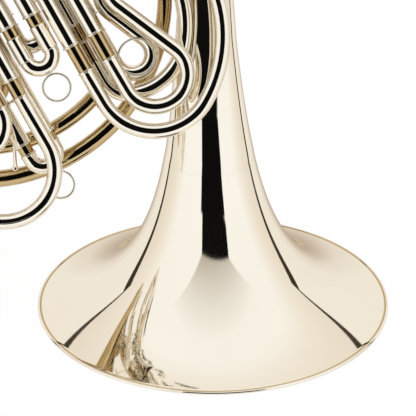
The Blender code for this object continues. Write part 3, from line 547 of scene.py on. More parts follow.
def tail_route():
    drop = PLANE_HEIGHT - FLARE_HEIGHT
    bend = (drop - TAIL_LEAD) / math.tan(LEAN_BACK / 2)
    route = Route((-BELL_LEAN * FLARE_HEIGHT, -drop * math.cos(LEAN_BACK), -drop * math.sin(LEAN_BACK)), 90.0)
    start = route.end() + Vector((0.0, math.cos(LEAN_BACK), math.sin(LEAN_BACK))) * TAIL_LEAD
    route.knots.append(start)
    for k in range(1, 19):
        left = LEAN_BACK * (1 - k / 18)
        rise = bend * (math.sin(LEAN_BACK) - math.sin(left))
        gain = bend * (math.cos(left) - math.cos(LEAN_BACK))
        route.knots.append(Vector((start.x + (TAIL_U - start.x) * k / 18, start.y + rise, start.z + gain)))
    route.knots.append(Vector((TAIL_U, BODY_V, 0.0)))
    return route


tail = tail_route()
left_radius = (TAIL_U - BODY_U + BRANCH_RADIUS) / 2
upper_radius = LOWER_BOW_RADIUS + TAIL_U - BODY_U - left_radius
upper = Route(tail.end(), 90.0).turn(upper_radius, 90.0)
left = Route(upper.end(), 180.0).turn(left_radius, 90.0)
first = Route(left.end(), 270.0).turn(LOWER_BOW_RADIUS, 90.0).turn(BRANCH_RADIUS, 90.0)
first.straight(BRANCH_RISE).turn(BRANCH_ENTRY_BEND, SLIDE_HEADING + 180.0, climb=BACK_LEVEL)

distance = FLARE_HEIGHT
BRANCH_TUBES = (("bell_tail", tail, silver), ("upper_bow", upper, gold), ("left_bow", left, gold),
                ("first_branch", first, gold))
for node, route, made in BRANCH_TUBES:
    marks = route.marks()
    lap = 0.0 if node == "bell_tail" else FERRULE_LENGTH
    outline = [(m, flare_radius(distance + m)) for m in marks if m >= lap]
    if lap:
        start = flare_radius(distance)
        outline = [(GAP, start + FERRULE_STEP), (lap, start + FERRULE_STEP), (lap, start)] + outline
        outline = eased(outline, 0.0006)
    bm = bmesh.new()
    tube(bm, route, outline, 56)
    finished(node, bm, made, silver)
    print(node, round(marks[-1], 4), "m long, end radius", round(outline[-1][1], 4))
    distance += marks[-1]

# %% [markdown]
# Four rotary valves stand in a row. Each is a drum in a cylindrical casing, with a
# screwed front cap whose knurled edge gives the fingers a grip, and short links
# that join it to the next one. The drums themselves stay hidden in their casings.

# %% Valve casings and caps
VALVE_S = -0.020
VALVE_N = {"first": -0.0324, "second": 0.0082, "third": 0.0471, "change": 0.0870}
CASING_RADIUS, CASING_BORE = 0.0175, 0.0143
CASING_BACK, CASING_FRONT = 0.0165, 0.0533
CAP_HEIGHT = 0.0048
PORT_RADIUS = 0.0056
ROD_LEVEL, CHANGE_ROD_LEVEL = 0.010, -0.012
BUMPER_CIRCLE, BUMPER_RADIUS = 0.0120, 0.0018
BUMPER_LEAN = 69.0
HUB_HEIGHT = 0.0060
SPINDLE_HOLE = 0.0034
KNURLS = 72


def bumper_point(valve_name, turn, level):
    turn = math.radians(turn)
    out = S * math.sin(turn) - N * math.cos(turn)
    return seat(VALVE_N[valve_name], VALVE_S, level) + out * BUMPER_CIRCLE


order = list(VALVE_N)
for name, across in VALVE_N.items():
    centre = seat(across, VALVE_S, 0.0)
    hub = CHANGE_ROD_LEVEL if name == "change" else ROD_LEVEL
    bm = bmesh.new()
    band = CASING_RADIUS - 0.0007
    low, high = CASING_BACK + 0.0035, CASING_FRONT - 0.0045
    shell = [(CASING_BACK, SPINDLE_HOLE), (CASING_BACK, CASING_RADIUS), (low, CASING_RADIUS), (low, band),
             (high, band), (high, CASING_RADIUS), (CASING_FRONT, CASING_RADIUS), (CASING_FRONT, CASING_BORE)]
    turned(bm, centre, W, N, eased(shell), 72)
    following = order[(order.index(name) + 1) % len(order)]
    if following != order[0]:
        for level in (BACK_LEVEL, FRONT_LEVEL):
            start = seat(across + CASING_BORE, VALVE_S, level)
            finish = seat(VALVE_N[following] - CASING_RADIUS + 0.0004, VALVE_S, level)
            turned(bm, start, N, W, [(0.0, PORT_RADIUS), ((finish - start).length, PORT_RADIUS)], 28)
    for turn in (-BUMPER_LEAN, BUMPER_LEAN):
        foot = bumper_point(name, turn, CASING_BACK + 0.001)
        tip = bumper_point(name, turn, hub - HUB_HEIGHT / 2)
        rod(bm, foot, tip, N, BUMPER_RADIUS * 0.7)
        first_face = len(bm.faces)
        turned(bm, tip, W, N, eased([(0.0, 0.0004), (0.0, BUMPER_RADIUS), (HUB_HEIGHT, BUMPER_RADIUS),
                                     (HUB_HEIGHT, 0.0004)]), 20)
        bm.faces.ensure_lookup_table()
        for face in bm.faces[first_face:]:
            face.material_index = 1
    finished(name + "_valve_casing", bm, silver, rubber)

    face = CASING_FRONT + GAP
    half = face + CAP_HEIGHT / 2
    cap = [(face, CASING_RADIUS * 0.5), (face, CASING_RADIUS * 0.94), (half, CASING_RADIUS * 0.94),
           (half, CASING_RADIUS * 0.74), (half - 0.0006, CASING_RADIUS * 0.70), (half, CASING_RADIUS * 0.66),
           (face + CAP_HEIGHT, CASING_RADIUS * 0.58), (face + CAP_HEIGHT, CASING_RADIUS * 0.16),
           (face + CAP_HEIGHT - 0.0006, CASING_RADIUS * 0.10)]
    bm = bmesh.new()
    turned(bm, centre, W, N, eased(cap), 72)
    knurl = []
    for d, r in ((face + 0.0002, 0.955), (face + 0.0004, 1.0), (half - 0.0006, 1.0), (half - 0.0003, 0.955)):
        points = ring(bm, centre + W * d, W, N, CASING_RADIUS * r, KNURLS * 2)
        for k, point in enumerate(points):
            if k % 2:
                point.co += (centre + W * d - point.co).normalized() * 0.0004
        knurl.append(points)
    skin(bm, knurl)
    finished(name + "_valve_cap", bm, silver)
print("valves", order)

# %% [markdown]
# Every valve sends the air round a loop of tubing, whose bend slides out for tuning.
# The fixed sleeves end in a ring; the bend's own legs run inside them and show as a
# thinner, warmer stretch before their collars. The braces between two legs are
# turned rods with a flange at each end, where the solder holds. The third slide's
# back bend stands a little forward, to pass the bell's tail when it is pulled out.

# %% Slides
LEG_RADIUS, CROOK_RADIUS, SLEEVE_RADIUS = 0.00615, 0.0065, 0.00715
SLEEVE_BORE = 0.0065
PORT_LENGTH = 0.010
RING_RADIUS, RING_WIDTH = 0.0080, 0.0016
STAY_RADIUS = 0.0015
CASING_BITE = 0.006
TAIL_ROOM = 0.0012
SLIDES = {
    "first_front": {"valve": "first", "level": FRONT_LEVEL, "legs": (-0.0223, -0.0426), "mouth": 0.0733,
                    "insertion": 0.040, "spare": 0.012, "stays": (0.030,), "neck": 0.015, "collar": RING_WIDTH,
                    "runs": ((0.1359, (0.0434, -119.1), 0.008), (0.0920, (0.0234, -119.1), 0.008))},
    "second_front": {"valve": "second", "level": FRONT_LEVEL, "legs": (-0.0030, 0.0194), "mouth": 0.0344,
                     "insertion": 0.020, "spare": 0.009, "stays": (0.006,), "neck": 0.0091, "collar": 0.0225,
                     "runs": ((0.0663,), (0.0663,))},
    "third_front": {"valve": "third", "level": FRONT_LEVEL, "legs": (0.0360, 0.0582), "mouth": 0.0733,
                    "insertion": 0.040, "spare": 0.012, "stays": (0.030,), "neck": 0.0227, "collar": RING_WIDTH,
                    "runs": ((0.1255, (0.0492, 121.0), (0.110, 70.0)),
                             (0.1273, (0.027, 203.8), 0.060, (0.023, -52.9)))},
    "first_back": {"valve": "first", "level": BACK_LEVEL, "legs": (-0.0424, -0.0198), "mouth": 0.127,
                   "insertion": 0.040, "spare": 0.012, "stays": (0.040, 0.090), "neck": 0.008,
                   "collar": RING_WIDTH, "runs": ((0.1406,), (0.1406,))},
    "second_back": {"valve": "second", "level": BACK_LEVEL, "legs": (-0.0023, 0.0197), "mouth": 0.027,
                    "insertion": 0.014, "spare": 0.009, "stays": (0.004,), "neck": 0.008, "collar": RING_WIDTH,
                    "runs": ((0.0470,), (0.0470,))},
    "third_back": {"valve": "third", "level": BACK_LEVEL, "legs": (0.0445, 0.0597), "mouth": 0.060,
                   "insertion": 0.040, "spare": 0.012, "stays": (0.020,), "neck": 0.014, "collar": RING_WIDTH,
                   "runs": ((0.112, (0.022, 65.0, TAIL_ROOM), (0.050, 75.0), (0.090, 26.0)),
                            (0.1042, (0.0162, 203.8, TAIL_ROOM), 0.0351, (0.023, -52.9)))},
}


def sleeve(bm, route, depth):
    """A fixed leg: its port, the sleeve, the ring at its mouth and the bore."""
    end = route.length()
    outline = [(0.0, PORT_RADIUS), (PORT_LENGTH, PORT_RADIUS), (PORT_LENGTH, SLEEVE_RADIUS),
               (end - RING_WIDTH, SLEEVE_RADIUS), (end - RING_WIDTH, RING_RADIUS), (end, RING_RADIUS),
               (end, SLEEVE_BORE), (end - depth, SLEEVE_BORE)]
    tube(bm, route, eased(outline))


def stay(bm, start, finish, clear=SLEEVE_RADIUS):
    """A turned brace with a flange where it meets each tube."""
    run = finish - start
    a, b = clear - 0.0004, run.length - clear + 0.0004
    middle = (a + b) / 2
    flange, waist, bead = STAY_RADIUS * 1.9, STAY_RADIUS * 0.8, STAY_RADIUS * 1.25
    outline = [(a, flange), (a + 0.0010, flange), (a + 0.0016, waist), (middle - 0.0012, waist), (middle, bead),
               (middle + 0.0012, waist), (b - 0.0016, waist), (b - 0.0010, flange), (b, flange)]
    turned(bm, start, run.normalized(), W, eased(outline, 0.0003), 20)


def crook(bm, route, insertion, exposed, collar=RING_WIDTH):
    """A sliding bend: thin legs that run in the sleeves, collars, and the bent tube."""
    length = route.length()
    shoulder = insertion + exposed
    foot = [(0.0, LEG_RADIUS), (shoulder, LEG_RADIUS), (shoulder, SLEEVE_RADIUS),
            (shoulder + collar, SLEEVE_RADIUS), (shoulder + collar, CROOK_RADIUS)]
    if collar > 2 * RING_WIDTH:
        for end in (shoulder + RING_WIDTH, shoulder + collar - RING_WIDTH):
            foot[3:3] = [(end, SLEEVE_RADIUS), (end, SLEEVE_RADIUS)]
        foot = sorted(foot, key=lambda step: step[0])
    outline = eased(foot + [(length - d, r) for d, r in reversed(foot)])
    tube(bm, route, outline, bare=[(0.0, shoulder), (length - shoulder, length)])


for name, slide in SLIDES.items():
    level, legs = slide["level"], slide["legs"]
    first_s = VALVE_S + CASING_RADIUS - CASING_BITE
    bm = bmesh.new()
    for across in legs:
        offset = across - VALVE_N[slide["valve"]]
        start = max(first_s, VALVE_S + math.sqrt(CASING_RADIUS ** 2 - offset ** 2) - 0.0005)
        route = Route(along(across, start, level), SLIDE_HEADING).straight(slide["mouth"] - start)
        sleeve(bm, route, slide["insertion"] + slide["spare"])
    for out in slide["stays"]:
        stay(bm, seat(legs[0], out, level), seat(legs[1], out, level))
    finished(name + "_sleeves", bm, silver)

    ends = []
    start = slide["mouth"] - slide["insertion"]
    for across, (straight_end, *bends) in zip(legs, slide["runs"]):
        leg = Route(along(across, start, level), SLIDE_HEADING).straight(straight_end - start)
        ends.append(leg.run_on(bends))
    bm = bmesh.new()
    crook(bm, ends[0].joined(ends[1]), slide["insertion"], slide["neck"], slide["collar"])
    finished(name + "_slide", bm, silver, gold)
print("slides", list(SLIDES))

# %% [markdown]
# A player pulls a slide out by a wire ring soldered to its bend.

# %% Pull rings
PULL_WIRE = 0.0010
PULL_RADIUS = 0.0115
THIRD_RING_RADIUS = 0.0152
THIRD_RING_AT = (0.0783, 0.1074)


def wire_ring(bm, middle, radius, lay=N):
    rings = []
    for k in range(72):
        turn = k * math.tau / 72
        spoke = S * math.cos(turn) + lay * math.sin(turn)
        tangent = S.cross(lay).cross(spoke)
        rings.append(ring(bm, middle + spoke * radius, tangent, S.cross(lay), PULL_WIRE, 16))
    skin(bm, rings, closed=True)


for node, slide in (("second_pull_ring", SLIDES["second_front"]), ("first_pull_ring", SLIDES["first_back"])):
    low, high = slide["legs"]
    reach = (high - low) / 2 + CROOK_RADIUS + GAP + PULL_WIRE
    out = slide["runs"][0][0] + reach + PULL_RADIUS
    bm = bmesh.new()
    wire_ring(bm, seat((low + high) / 2, out, slide["level"]), PULL_RADIUS)
    finished(node, bm, silver)
bm = bmesh.new()
wire_ring(bm, seat(*THIRD_RING_AT, BACK_LEVEL + CROOK_RADIUS + PULL_WIRE + GAP), THIRD_RING_RADIUS)
finished("third_pull_ring", bm, silver)
print("three pull rings")

# %% [markdown]
# The air comes in at the mouthpipe, a slim taper that sweeps round the top of the
# horn from the player's lips, and passes the main tuning slide before the valves.

# %% Mouthpipe and main tuning slide
MAIN_FAR_S = -0.060
MAIN_START_N, MAIN_MOUTH_N = -0.050, -0.100
MAIN_INSERTION = 0.030
MOUTHPIPE_END_RADIUS, MOUTHPIPE_TIP_RADIUS = 0.0062, 0.0046
RECEIVER_LENGTH, RECEIVER_RADIUS, RECEIVER_BORE = 0.030, 0.0068, 0.0046


def mouthpipe_route():
    pipe = Route(along(MAIN_START_N + GAP, MAIN_FAR_S, BACK_LEVEL), SLIDE_HEADING + 90.0).straight(0.0826)
    return pipe.turn(0.052, 180.0 - pipe.heading).turn(0.172, 60.0).straight(0.112)


heading = SLIDE_HEADING - 90.0
near_start = VALVE_N["first"] - CASING_RADIUS + 0.0005
bm = bmesh.new()
for start_n, out in ((near_start, VALVE_S), (MAIN_START_N, MAIN_FAR_S)):
    route = Route(along(start_n, out, BACK_LEVEL), heading).straight(start_n - MAIN_MOUTH_N)
    sleeve(bm, route, MAIN_INSERTION + 0.006)
brace_n = MAIN_MOUTH_N + 0.014
stay(bm, seat(brace_n, VALVE_S, BACK_LEVEL), seat(brace_n, MAIN_FAR_S, BACK_LEVEL))
finished("main_tuning_sleeves", bm, silver)

legs = [Route(along(MAIN_MOUTH_N + MAIN_INSERTION, s, BACK_LEVEL), heading).straight(MAIN_INSERTION + 0.018)
        for s in (VALVE_S, MAIN_FAR_S)]
bm = bmesh.new()
crook(bm, legs[0].joined(legs[1]), MAIN_INSERTION, 0.010)
finished("main_tuning_slide", bm, silver, gold)

pipe = mouthpipe_route()
bm = bmesh.new()
tube(bm, pipe, [(0.0, MOUTHPIPE_END_RADIUS), (pipe.length(), MOUTHPIPE_TIP_RADIUS)])
finished("mouthpipe", bm, gold)
receiver = Route(pipe.end(), pipe.heading).straight(RECEIVER_LENGTH)
bm = bmesh.new()
collar = RECEIVER_RADIUS + 0.001
tube(bm, receiver, eased([(GAP, RECEIVER_RADIUS), (0.022, RECEIVER_RADIUS - 0.0004), (0.0235, collar),
                          (0.0265, collar), (0.0275, RECEIVER_RADIUS), (RECEIVER_LENGTH, collar - 0.0004),
                          (RECEIVER_LENGTH, RECEIVER_BORE), (0.006, RECEIVER_BORE * 0.85)]))
finished("mouthpiece_receiver", bm, silver)
print("mouthpipe", round(pipe.length(), 3), "m")

# %% [markdown]
# The longer side of a double horn has tubing of its own. It leaves the change valve,
# runs along the bottom inside the branch, turns back at its tuning slide and comes
# home behind the valves.

# %% Inner tubing
INNER_RADIUS = 0.0065
INNER_BOW = 0.1305
INNER_CORNER = 0.020
ENTRY_CORNER = 0.010
FOURTH_GAP, FOURTH_SLEEVE, FOURTH_INSERTION = 0.036, 0.034, 0.019
RETURN_S = -0.065
INNER_FOOT = Vector((BODY_U, BODY_V - INNER_BOW, 0.0))
CHANGE_N = VALVE_N["change"]


def across_slides(point):
    """How far a body-plane point lies across the slides, its n."""
    return (point - along(0.0, 0.0, 0.0)).dot(Vector((-math.sin(S_TURN), math.cos(S_TURN), 0.0)))


def return_route():
    back = Route(INNER_FOOT + Vector((0.0, FOURTH_GAP, 0.0))).turn(INNER_CORNER, SLIDE_HEADING + 180.0)
    return back.corners([along(across_slides(back.end()), RETURN_S, 0.0), along(CHANGE_N, RETURN_S, 0.0),
                         along(CHANGE_N, RETURN_S + 0.023, BACK_LEVEL),
                         along(CHANGE_N, VALVE_S - CASING_RADIUS + 0.0005, BACK_LEVEL)], ENTRY_CORNER)


out_route = Route(INNER_FOOT).turn(INNER_BOW, 48.2).turn(INNER_CORNER, SLIDE_HEADING + 180.0 - 48.2)
out_route.corners([along(across_slides(out_route.end()), 0.012, 0.0), along(CHANGE_N, 0.012, BACK_LEVEL),
                   along(CHANGE_N, VALVE_S + CASING_RADIUS - 0.0005, BACK_LEVEL)], ENTRY_CORNER)
for node, route in (("inner_branch", out_route), ("inner_return", return_route())):
    bm = bmesh.new()
    tube(bm, route, [(GAP, INNER_RADIUS), (route.length(), INNER_RADIUS)])
    finished(node, bm, gold)

bm = bmesh.new()
lifts = [Vector((0.0, 0.0, 0.0)), Vector((0.0, FOURTH_GAP, 0.0))]
for lift in lifts:
    sleeve(bm, Route(INNER_FOOT + lift, 180.0).straight(FOURTH_SLEEVE), FOURTH_INSERTION + 0.003)
brace_at = INNER_FOOT - Vector((FOURTH_SLEEVE * 0.6, 0.0, 0.0))
stay(bm, place(brace_at), place(brace_at + lifts[1]))
finished("f_tuning_sleeves", bm, silver)
starts = [INNER_FOOT + lift - Vector((FOURTH_SLEEVE - FOURTH_INSERTION, 0.0, 0.0)) for lift in lifts]
legs = [Route(start, 180.0).straight(FOURTH_INSERTION + 0.008) for start in starts]
bm = bmesh.new()
crook(bm, legs[0].joined(legs[1]), FOURTH_INSERTION, 0.005)
finished("f_tuning_slide", bm, silver, gold)
print("inner tubing", round(out_route.length(), 3), "m out")

# %% [markdown]
# Three finger levers share one shaft above the horn, each held up by a wound spring.
# Their touch pieces are slightly dished and round-edged, because fingers rest on
# them for hours. The thumb has a lever of its own behind the horn.

# %% Levers, springs and brackets
ROD_OFFSET, CRANK_OFFSET = 0.0070, 0.0033
SHAFT_S, SHAFT_LEVEL = -0.138, 0.0475
THUMB_SHAFT_S, THUMB_SHAFT_LEVEL = -0.088, -0.0345
SHAFT_RADIUS, HINGE_RADIUS, HINGE_BORE, HINGE_LENGTH = 0.0020, 0.0030, 0.0023, 0.012
PADDLE_LENGTH, PADDLE_WIDTH, PADDLE_REACH = 0.034, 0.017, 0.098
LEVER_THICKNESS, LEVER_WIDTH = 0.0028, 0.005
SPRING_WIRE, SPRING_RADIUS, SPRING_PITCH, SPRING_TURNS = 0.0006, 0.0033, 0.0022, 4
POST_RADIUS = 0.0016
THUMB_PADDLE_N, THUMB_REACH = 0.044, 0.028


def beam(bm, start, finish, across, width, height):
    """A flat bar with softened edges."""
    run = (finish - start).normalized()
    side = run.cross(across).normalized()
    up = side.cross(run).normalized()
    soft = min(width, height) * 0.22
    shape = []
    for a, b in ((1, 1), (-1, 1), (-1, -1), (1, -1)):
        for da, db in ((soft, 0.0), (0.0, soft)) if a * b < 0 else ((0.0, soft), (soft, 0.0)):
            shape.append(side * a * (width / 2 - da) + up * b * (height / 2 - db))
    skin(bm, [[bm.verts.new(end + p) for p in shape] for end in (start, finish)])


def touch_piece(bm, centre, lengthwise, out, length, width, thickness):
    """A dished plate with round corners and a rounded edge."""
    side = lengthwise.cross(out)
    corner = width * 0.42
    outline = []
    for quarter, (a, b) in enumerate(((1, 1), (-1, 1), (-1, -1), (1, -1))):
        for k in range(9):
            t = math.radians(quarter * 90 + k * 11.25)
            outline.append((a * (length / 2 - corner) + corner * math.cos(t),
                            b * (width / 2 - corner) + corner * math.sin(t)))
    layers = []
    for share, lift in ((0.0, -0.5), (0.55, -0.5), (0.88, -0.5), (0.97, -0.34), (1.0, 0.0), (0.97, 0.36),
                        (0.88, 0.5), (0.55, 0.32), (0.0, 0.2)):
        share = max(share, 0.02)
        level = centre + out * thickness * lift
        layers.append([bm.verts.new(level + (lengthwise * x + side * y) * share) for x, y in outline])
    skin(bm, layers)


def hinge(bm, centre, start, end):
    outline = [(start, HINGE_BORE), (start, HINGE_RADIUS), (end, HINGE_RADIUS), (end, HINGE_BORE)]
    turned(bm, centre, N, W, eased(outline, 0.0003), 28)


def coil(bm, start):
    points = 30 * SPRING_TURNS
    knots = []
    for k in range(points + 1):
        turn = k * math.tau / 30
        spoke = (S * math.cos(turn) + W * math.sin(turn)) * SPRING_RADIUS
        knots.append(start + spoke + N * SPRING_PITCH * k / 30)
    rings = []
    for k, knot in enumerate(knots):
        tangent = (knots[min(k + 1, points)] - knots[max(k - 1, 0)]).normalized()
        rings.append(ring(bm, knot, tangent, N, SPRING_WIRE, 12))
    skin(bm, rings)


for name in ("first", "second", "third"):
    crank_n = VALVE_N[name] + ROD_OFFSET - CRANK_OFFSET
    centre = seat(crank_n, SHAFT_S, SHAFT_LEVEL)
    grip = (HINGE_RADIUS + HINGE_BORE) / 2
    middle = centre - S * (PADDLE_REACH - PADDLE_LENGTH / 2)
    bm = bmesh.new()
    hinge(bm, centre, -HINGE_LENGTH / 2, HINGE_LENGTH / 2)
    beam(bm, centre - W * grip, seat(crank_n, SHAFT_S, ROD_LEVEL - 0.002), S, 0.0026, 0.0040)
    beam(bm, centre - S * grip, middle, W, LEVER_WIDTH, LEVER_THICKNESS)
    touch_piece(bm, middle, S, W, PADDLE_LENGTH, PADDLE_WIDTH, LEVER_THICKNESS)
    finished(name + "_lever", bm, silver)
    bm = bmesh.new()
    coil(bm, seat(crank_n + HINGE_LENGTH / 2 + 0.001, SHAFT_S, SHAFT_LEVEL))
    finished(name + "_spring", bm, steel)

rod_n = CHANGE_N + ROD_OFFSET
crank_n = rod_n - CRANK_OFFSET
low_n, high_n = THUMB_PADDLE_N - 0.006, rod_n + 0.002
pivot = seat(THUMB_PADDLE_N, THUMB_SHAFT_S, THUMB_SHAFT_LEVEL)
grip = (HINGE_RADIUS + HINGE_BORE) / 2
bm = bmesh.new()
hinge(bm, seat(low_n, THUMB_SHAFT_S, THUMB_SHAFT_LEVEL), 0.0, high_n - low_n)
beam(bm, seat(crank_n, THUMB_SHAFT_S, THUMB_SHAFT_LEVEL + grip),
     seat(crank_n, THUMB_SHAFT_S, CHANGE_ROD_LEVEL + 0.002), S, 0.0026, 0.0040)
beam(bm, pivot - S * grip, pivot - S * THUMB_REACH, W, LEVER_WIDTH, LEVER_THICKNESS)
touch_piece(bm, pivot - S * THUMB_REACH, N, -W, PADDLE_LENGTH, PADDLE_WIDTH, LEVER_THICKNESS)
finished("thumb_lever", bm, silver)
print("levers and springs ready")

# %% [markdown]
# Posts, a hook for the little finger and one brace hold the horn together.

# %% Fittings
LEVER_POSTS = (-0.046, 0.036)
FLANGE_RADIUS = 0.0036


def post(bm, start, foot, flange_from_foot):
    """A thin post whose flange sits on the tube it stands on."""
    run = foot - start
    end = run.length - flange_from_foot
    outline = [(0.0, POST_RADIUS * 0.5), (0.0, POST_RADIUS), (end - 0.004, POST_RADIUS),
               (end - 0.0016, POST_RADIUS * 1.5), (end - 0.0012, FLANGE_RADIUS), (end, FLANGE_RADIUS)]
    turned(bm, start, run.normalized(), N, eased(outline, 0.0004), 24)


last = VALVE_N["third"] + ROD_OFFSET - CRANK_OFFSET + HINGE_LENGTH + SPRING_PITCH * SPRING_TURNS
shaft_start = seat(LEVER_POSTS[0] - POST_RADIUS, SHAFT_S, SHAFT_LEVEL)
bm = bmesh.new()
rod(bm, shaft_start, seat(last, SHAFT_S, SHAFT_LEVEL), W, SHAFT_RADIUS)
for across in LEVER_POSTS:
    post(bm, seat(across, SHAFT_S, SHAFT_LEVEL), seat(across, -0.173, 0.006), 0.0)
finished("lever_bracket", bm, silver)

low = low_n - POST_RADIUS - HINGE_BORE
high = high_n + POST_RADIUS + HINGE_BORE
near, far = (seat(across, THUMB_SHAFT_S, THUMB_SHAFT_LEVEL) for across in (low, high))
knee = seat(high, RETURN_S, 0.0)
bm = bmesh.new()
rod(bm, near, far, W, SHAFT_RADIUS)
post(bm, near, seat(low, RETURN_S, 0.0), INNER_RADIUS)
rod(bm, far, knee + W * POST_RADIUS, N, POST_RADIUS)
rod(bm, knee, seat(CHANGE_N + INNER_RADIUS - 0.0002, RETURN_S, 0.0), W, POST_RADIUS * 0.9)
finished("thumb_bracket", bm, silver)

hook = Route(along(-0.052, -0.178 - MOUTHPIPE_END_RADIUS * 0.8, BACK_LEVEL))
hook.corners([along(-0.052, -0.200, BACK_LEVEL), along(-0.052, -0.200, BACK_LEVEL + 0.024),
              along(-0.052, -0.184, BACK_LEVEL + 0.024)], 0.008)
length = hook.length()
bm = bmesh.new()
tube(bm, hook, [(0.0, 0.0034), (0.0015, 0.0034), (0.0025, 0.0022), (length - 0.003, 0.0025),
                (length - 0.0008, 0.0021), (length, 0.0010)], 24, across=N)
finished("finger_hook", bm, silver)

slide = SLIDES["first_back"]
top = along(slide["legs"][0], 0.110, BACK_LEVEL)
foot = along(slide["legs"][0], 0.110, 0.0) + Vector((0.0, -0.042, 0.0))
brace_low, brace_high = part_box("branch_brace")
run = place(foot) - place(top)
reach = (brace_high.z - brace_low.z) / abs(run.normalized().z)
from_top = (place(top).z - brace_high.z) / abs(run.normalized().z)
bm = bmesh.new()
turned(bm, place(top) + run.normalized() * from_top, run.normalized(), N,
       eased([(-0.0006, 0.0034), (0.0008, 0.0034), (0.0020, POST_RADIUS), (reach - 0.0030, POST_RADIUS),
              (reach - 0.0016, 0.0034), (reach - 0.0004, 0.0034)], 0.0004), 24)
finished("branch_brace", bm, silver)
print("fittings ready")

# %% [markdown]
# The drums, the push rods and the stop arms are right as solids: they keep their CAD
# meshes and take a finish.

# %% Finishes on the solids that stay
for node, piece in frame["nodes"].items():
    if not piece.hide_render:
        made = gold if node.endswith("_rotor") else steel
        piece.data.materials.clear()
        piece.data.materials.append(made)
        print(node, made.name)

# %% [markdown]
# Polished metal is only as good as the room it mirrors. The world is a pale studio
# with a dark place behind the camera, which gives each tube its black centre line.
# Low down the place is a window with straight sides, which makes the bell's long
# black band. A white sheet stands behind the horn, and its dark edge draws the two
# creases down the bell. Rays from the camera itself see plain white.

# %% Studio around the horn
DARK_HALF_ANGLE = 36.0
WINDOW_LEFT, WINDOW_RIGHT = -0.34, 0.55
WINDOW_BOTTOM, WINDOW_TOP = -0.24, 0.05
WINDOW_NEAR = 0.60
SHEET_SIDE, SHEET_TOP = 1.82, 0.965
EDGE_SIDE, EDGE_TOP = 1.30, 1.07
BLACK, EDGE_TONE, WHITE = (0.004, 0.004, 0.004), (0.050, 0.036, 0.022), (1.0, 1.0, 1.0)

world = bpy.data.worlds.new("studio")
bpy.context.scene.world = world
world.use_nodes = True
n = Nodes(world.node_tree)
look = n.node("ShaderNodeTexCoord", output="Generated")
right, away, above = (n.node("ShaderNodeSeparateXYZ", output=axis, Vector=look) for axis in "XYZ")
facing = away * TO_CAMERA.y + above * TO_CAMERA.z
toward = 0.0 - away
swing = right / toward.maths("MAXIMUM", toward, 0.001)
window = (swing > WINDOW_LEFT) * (swing < WINDOW_RIGHT)
low_down = (above > WINDOW_BOTTOM) * (above < WINDOW_TOP) * (facing > WINDOW_NEAR)
depth = away.maths("MAXIMUM", away, 0.001)
side, top = right.maths("ABSOLUTE", right) / depth, above / depth
sheet = (side < SHEET_SIDE) * (top < SHEET_TOP)
edged = (side < SHEET_SIDE * EDGE_SIDE) * (top < SHEET_TOP * EDGE_TOP)

edge_at = (math.cos(math.radians(DARK_HALF_ANGLE)) + 1.0) / 2.0
room = n.node("ShaderNodeValToRGB", {"stops": (
    (0.00, (0.80, 0.74, 0.64)), (0.40, (0.86, 0.81, 0.73)), (0.52, (0.92, 0.88, 0.82)), (0.66, WHITE),
    (edge_at - 0.012, WHITE), (edge_at + 0.006, BLACK))}, Fac=facing * 0.5 + 0.5)
behind = n.node("ShaderNodeValToRGB", {"stops": (
    (0.00, (0.46, 0.37, 0.29)), (0.03, (0.62, 0.53, 0.43)), (0.07, (0.82, 0.76, 0.68)),
    (0.13, (0.91, 0.87, 0.81)), (0.50, (0.95, 0.93, 0.89)))}, Fac=facing * 0.5 + 0.5)
mirror = n.blend(edged, room, EDGE_TONE)
mirror = n.blend(sheet, mirror, behind)
mirror = n.blend(low_down, mirror, n.blend(window, WHITE, BLACK))
glossy = n.node("ShaderNodeLightPath", output="Is Glossy Ray")
backdrop = n.node("ShaderNodeBackground", Color=n.blend(glossy, WHITE, mirror), Strength=1.0)
n.node("ShaderNodeOutputWorld", Surface=backdrop)
print("dark place behind the camera:", DARK_HALF_ANGLE, "degrees each way")

# %% [markdown]
# Two cards lie above the front of the flare. Only its reflections see them, and only
# from below. The white one keeps the dark place off the flare. A slot is cut in from
# its far edge, and through it the throat sees the dark place as a band with straight
# sides and a flat end. The tan one fades the metal under the end of that band.

# %% Cards above the flare
BELL_AXIS = HORN_SHIFT.x - 0.001
CARD_HEIGHT = 0.130
CARD_NEAR, CARD_FAR, SLOT_END = -0.118, -0.60, -0.205
TAN = (0.50, 0.45, 0.38)
CARD_OUTLINE = ((-0.13, CARD_NEAR), (0.13, CARD_NEAR), (0.40, CARD_FAR))
SLOT_RIGHT = ((0.32, CARD_FAR), (0.236, -0.45), (0.135, -0.266), (0.084, -0.185))
SLOT_LEFT = ((-0.0485, SLOT_END), (-0.0766, -0.29), (-0.135, -0.49), (-0.17, CARD_FAR), (-0.40, CARD_FAR))


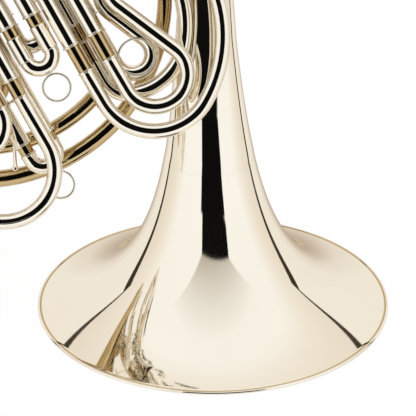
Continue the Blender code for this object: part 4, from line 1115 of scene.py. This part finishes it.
def card(name, corners, height, far_tone):
    """A card that fades from one tone at the slot's end to white at its near edge."""
    mesh = bpy.data.meshes.new(name)
    mesh.from_pydata([(BELL_AXIS + x, y, height) for x, y in corners], [], [tuple(range(len(corners)))])
    made = bpy.data.objects.new(name, mesh)
    bpy.context.scene.collection.objects.link(made)
    glow = bpy.data.materials.new(name)
    glow.use_nodes = True
    n = Nodes(glow.node_tree)
    where = n.node("ShaderNodeTexCoord", output="Object")
    nearness = (n.node("ShaderNodeSeparateXYZ", output="Y", Vector=where) - SLOT_END) / (CARD_NEAR - SLOT_END)
    shine = n.node("ShaderNodeEmission", Color=n.blend(nearness, far_tone, WHITE), Strength=1.0)
    from_above = n.node("ShaderNodeNewGeometry", output="Backfacing")
    n.node("ShaderNodeOutputMaterial", Surface=n.mixed(from_above, shine, n.node("ShaderNodeBsdfTransparent")))
    mesh.materials.append(glow)
    made.visible_camera = made.visible_diffuse = made.visible_shadow = False
    made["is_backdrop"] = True


card("white_card", CARD_OUTLINE + SLOT_RIGHT + SLOT_LEFT, CARD_HEIGHT, WHITE)
card("tan_card", ((-0.10, CARD_NEAR), (0.13, CARD_NEAR), SLOT_RIGHT[-1], SLOT_LEFT[0]), CARD_HEIGHT - 0.001, TAN)
print("two cards")

# %% [markdown]
# The floor is plain white, as in the photograph. Most of what the camera sees of it
# is its own even white, and the rest is lit, which leaves a faint shadow under the rim.

# %% Floor and lamp
mesh = bpy.data.meshes.new("floor")
mesh.from_pydata([(-6.0, -6.0, 0.0), (6.0, -6.0, 0.0), (6.0, 6.0, 0.0), (-6.0, 6.0, 0.0)], [], [(0, 1, 2, 3)])
floor = bpy.data.objects.new("floor", mesh)
floor.location.z = -0.0002
bpy.context.scene.collection.objects.link(floor)
paper = bpy.data.materials.new("floor_white")
paper.use_nodes = True
n = Nodes(paper.node_tree)
direct = n.node("ShaderNodeLightPath", output="Is Camera Ray")
lit = n.node("ShaderNodeBsdfDiffuse", Color=(0.95, 0.95, 0.95, 1.0))
even = n.node("ShaderNodeEmission", Color=(1.0, 1.0, 1.0, 1.0), Strength=1.0)
n.node("ShaderNodeOutputMaterial", Surface=n.mixed(direct * 0.93, lit, even))
mesh.materials.append(paper)
floor.visible_glossy = False
floor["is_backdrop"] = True

lamp = bpy.data.lights.new("soft_lamp", "AREA")
lamp.size = 1.6
lamp.energy = 6.0
soft = bpy.data.objects.new("soft_lamp", lamp)
soft.location = (-1.1, -0.9, 2.0)
soft.rotation_euler = (Vector((-1.1, -0.9, 2.0)) - LOOK_AT).to_track_quat("Z", "Y").to_euler()
soft.visible_glossy = False
bpy.context.scene.collection.objects.link(soft)
print("floor and lamp ready")

# %% [markdown]
# The size of the dressed horn is printed. The dressed horn may not grow past the
# imported one.

# %% Sizes
low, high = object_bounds()
print("scene", [round(b - a, 4) for a, b in zip(low, high)])
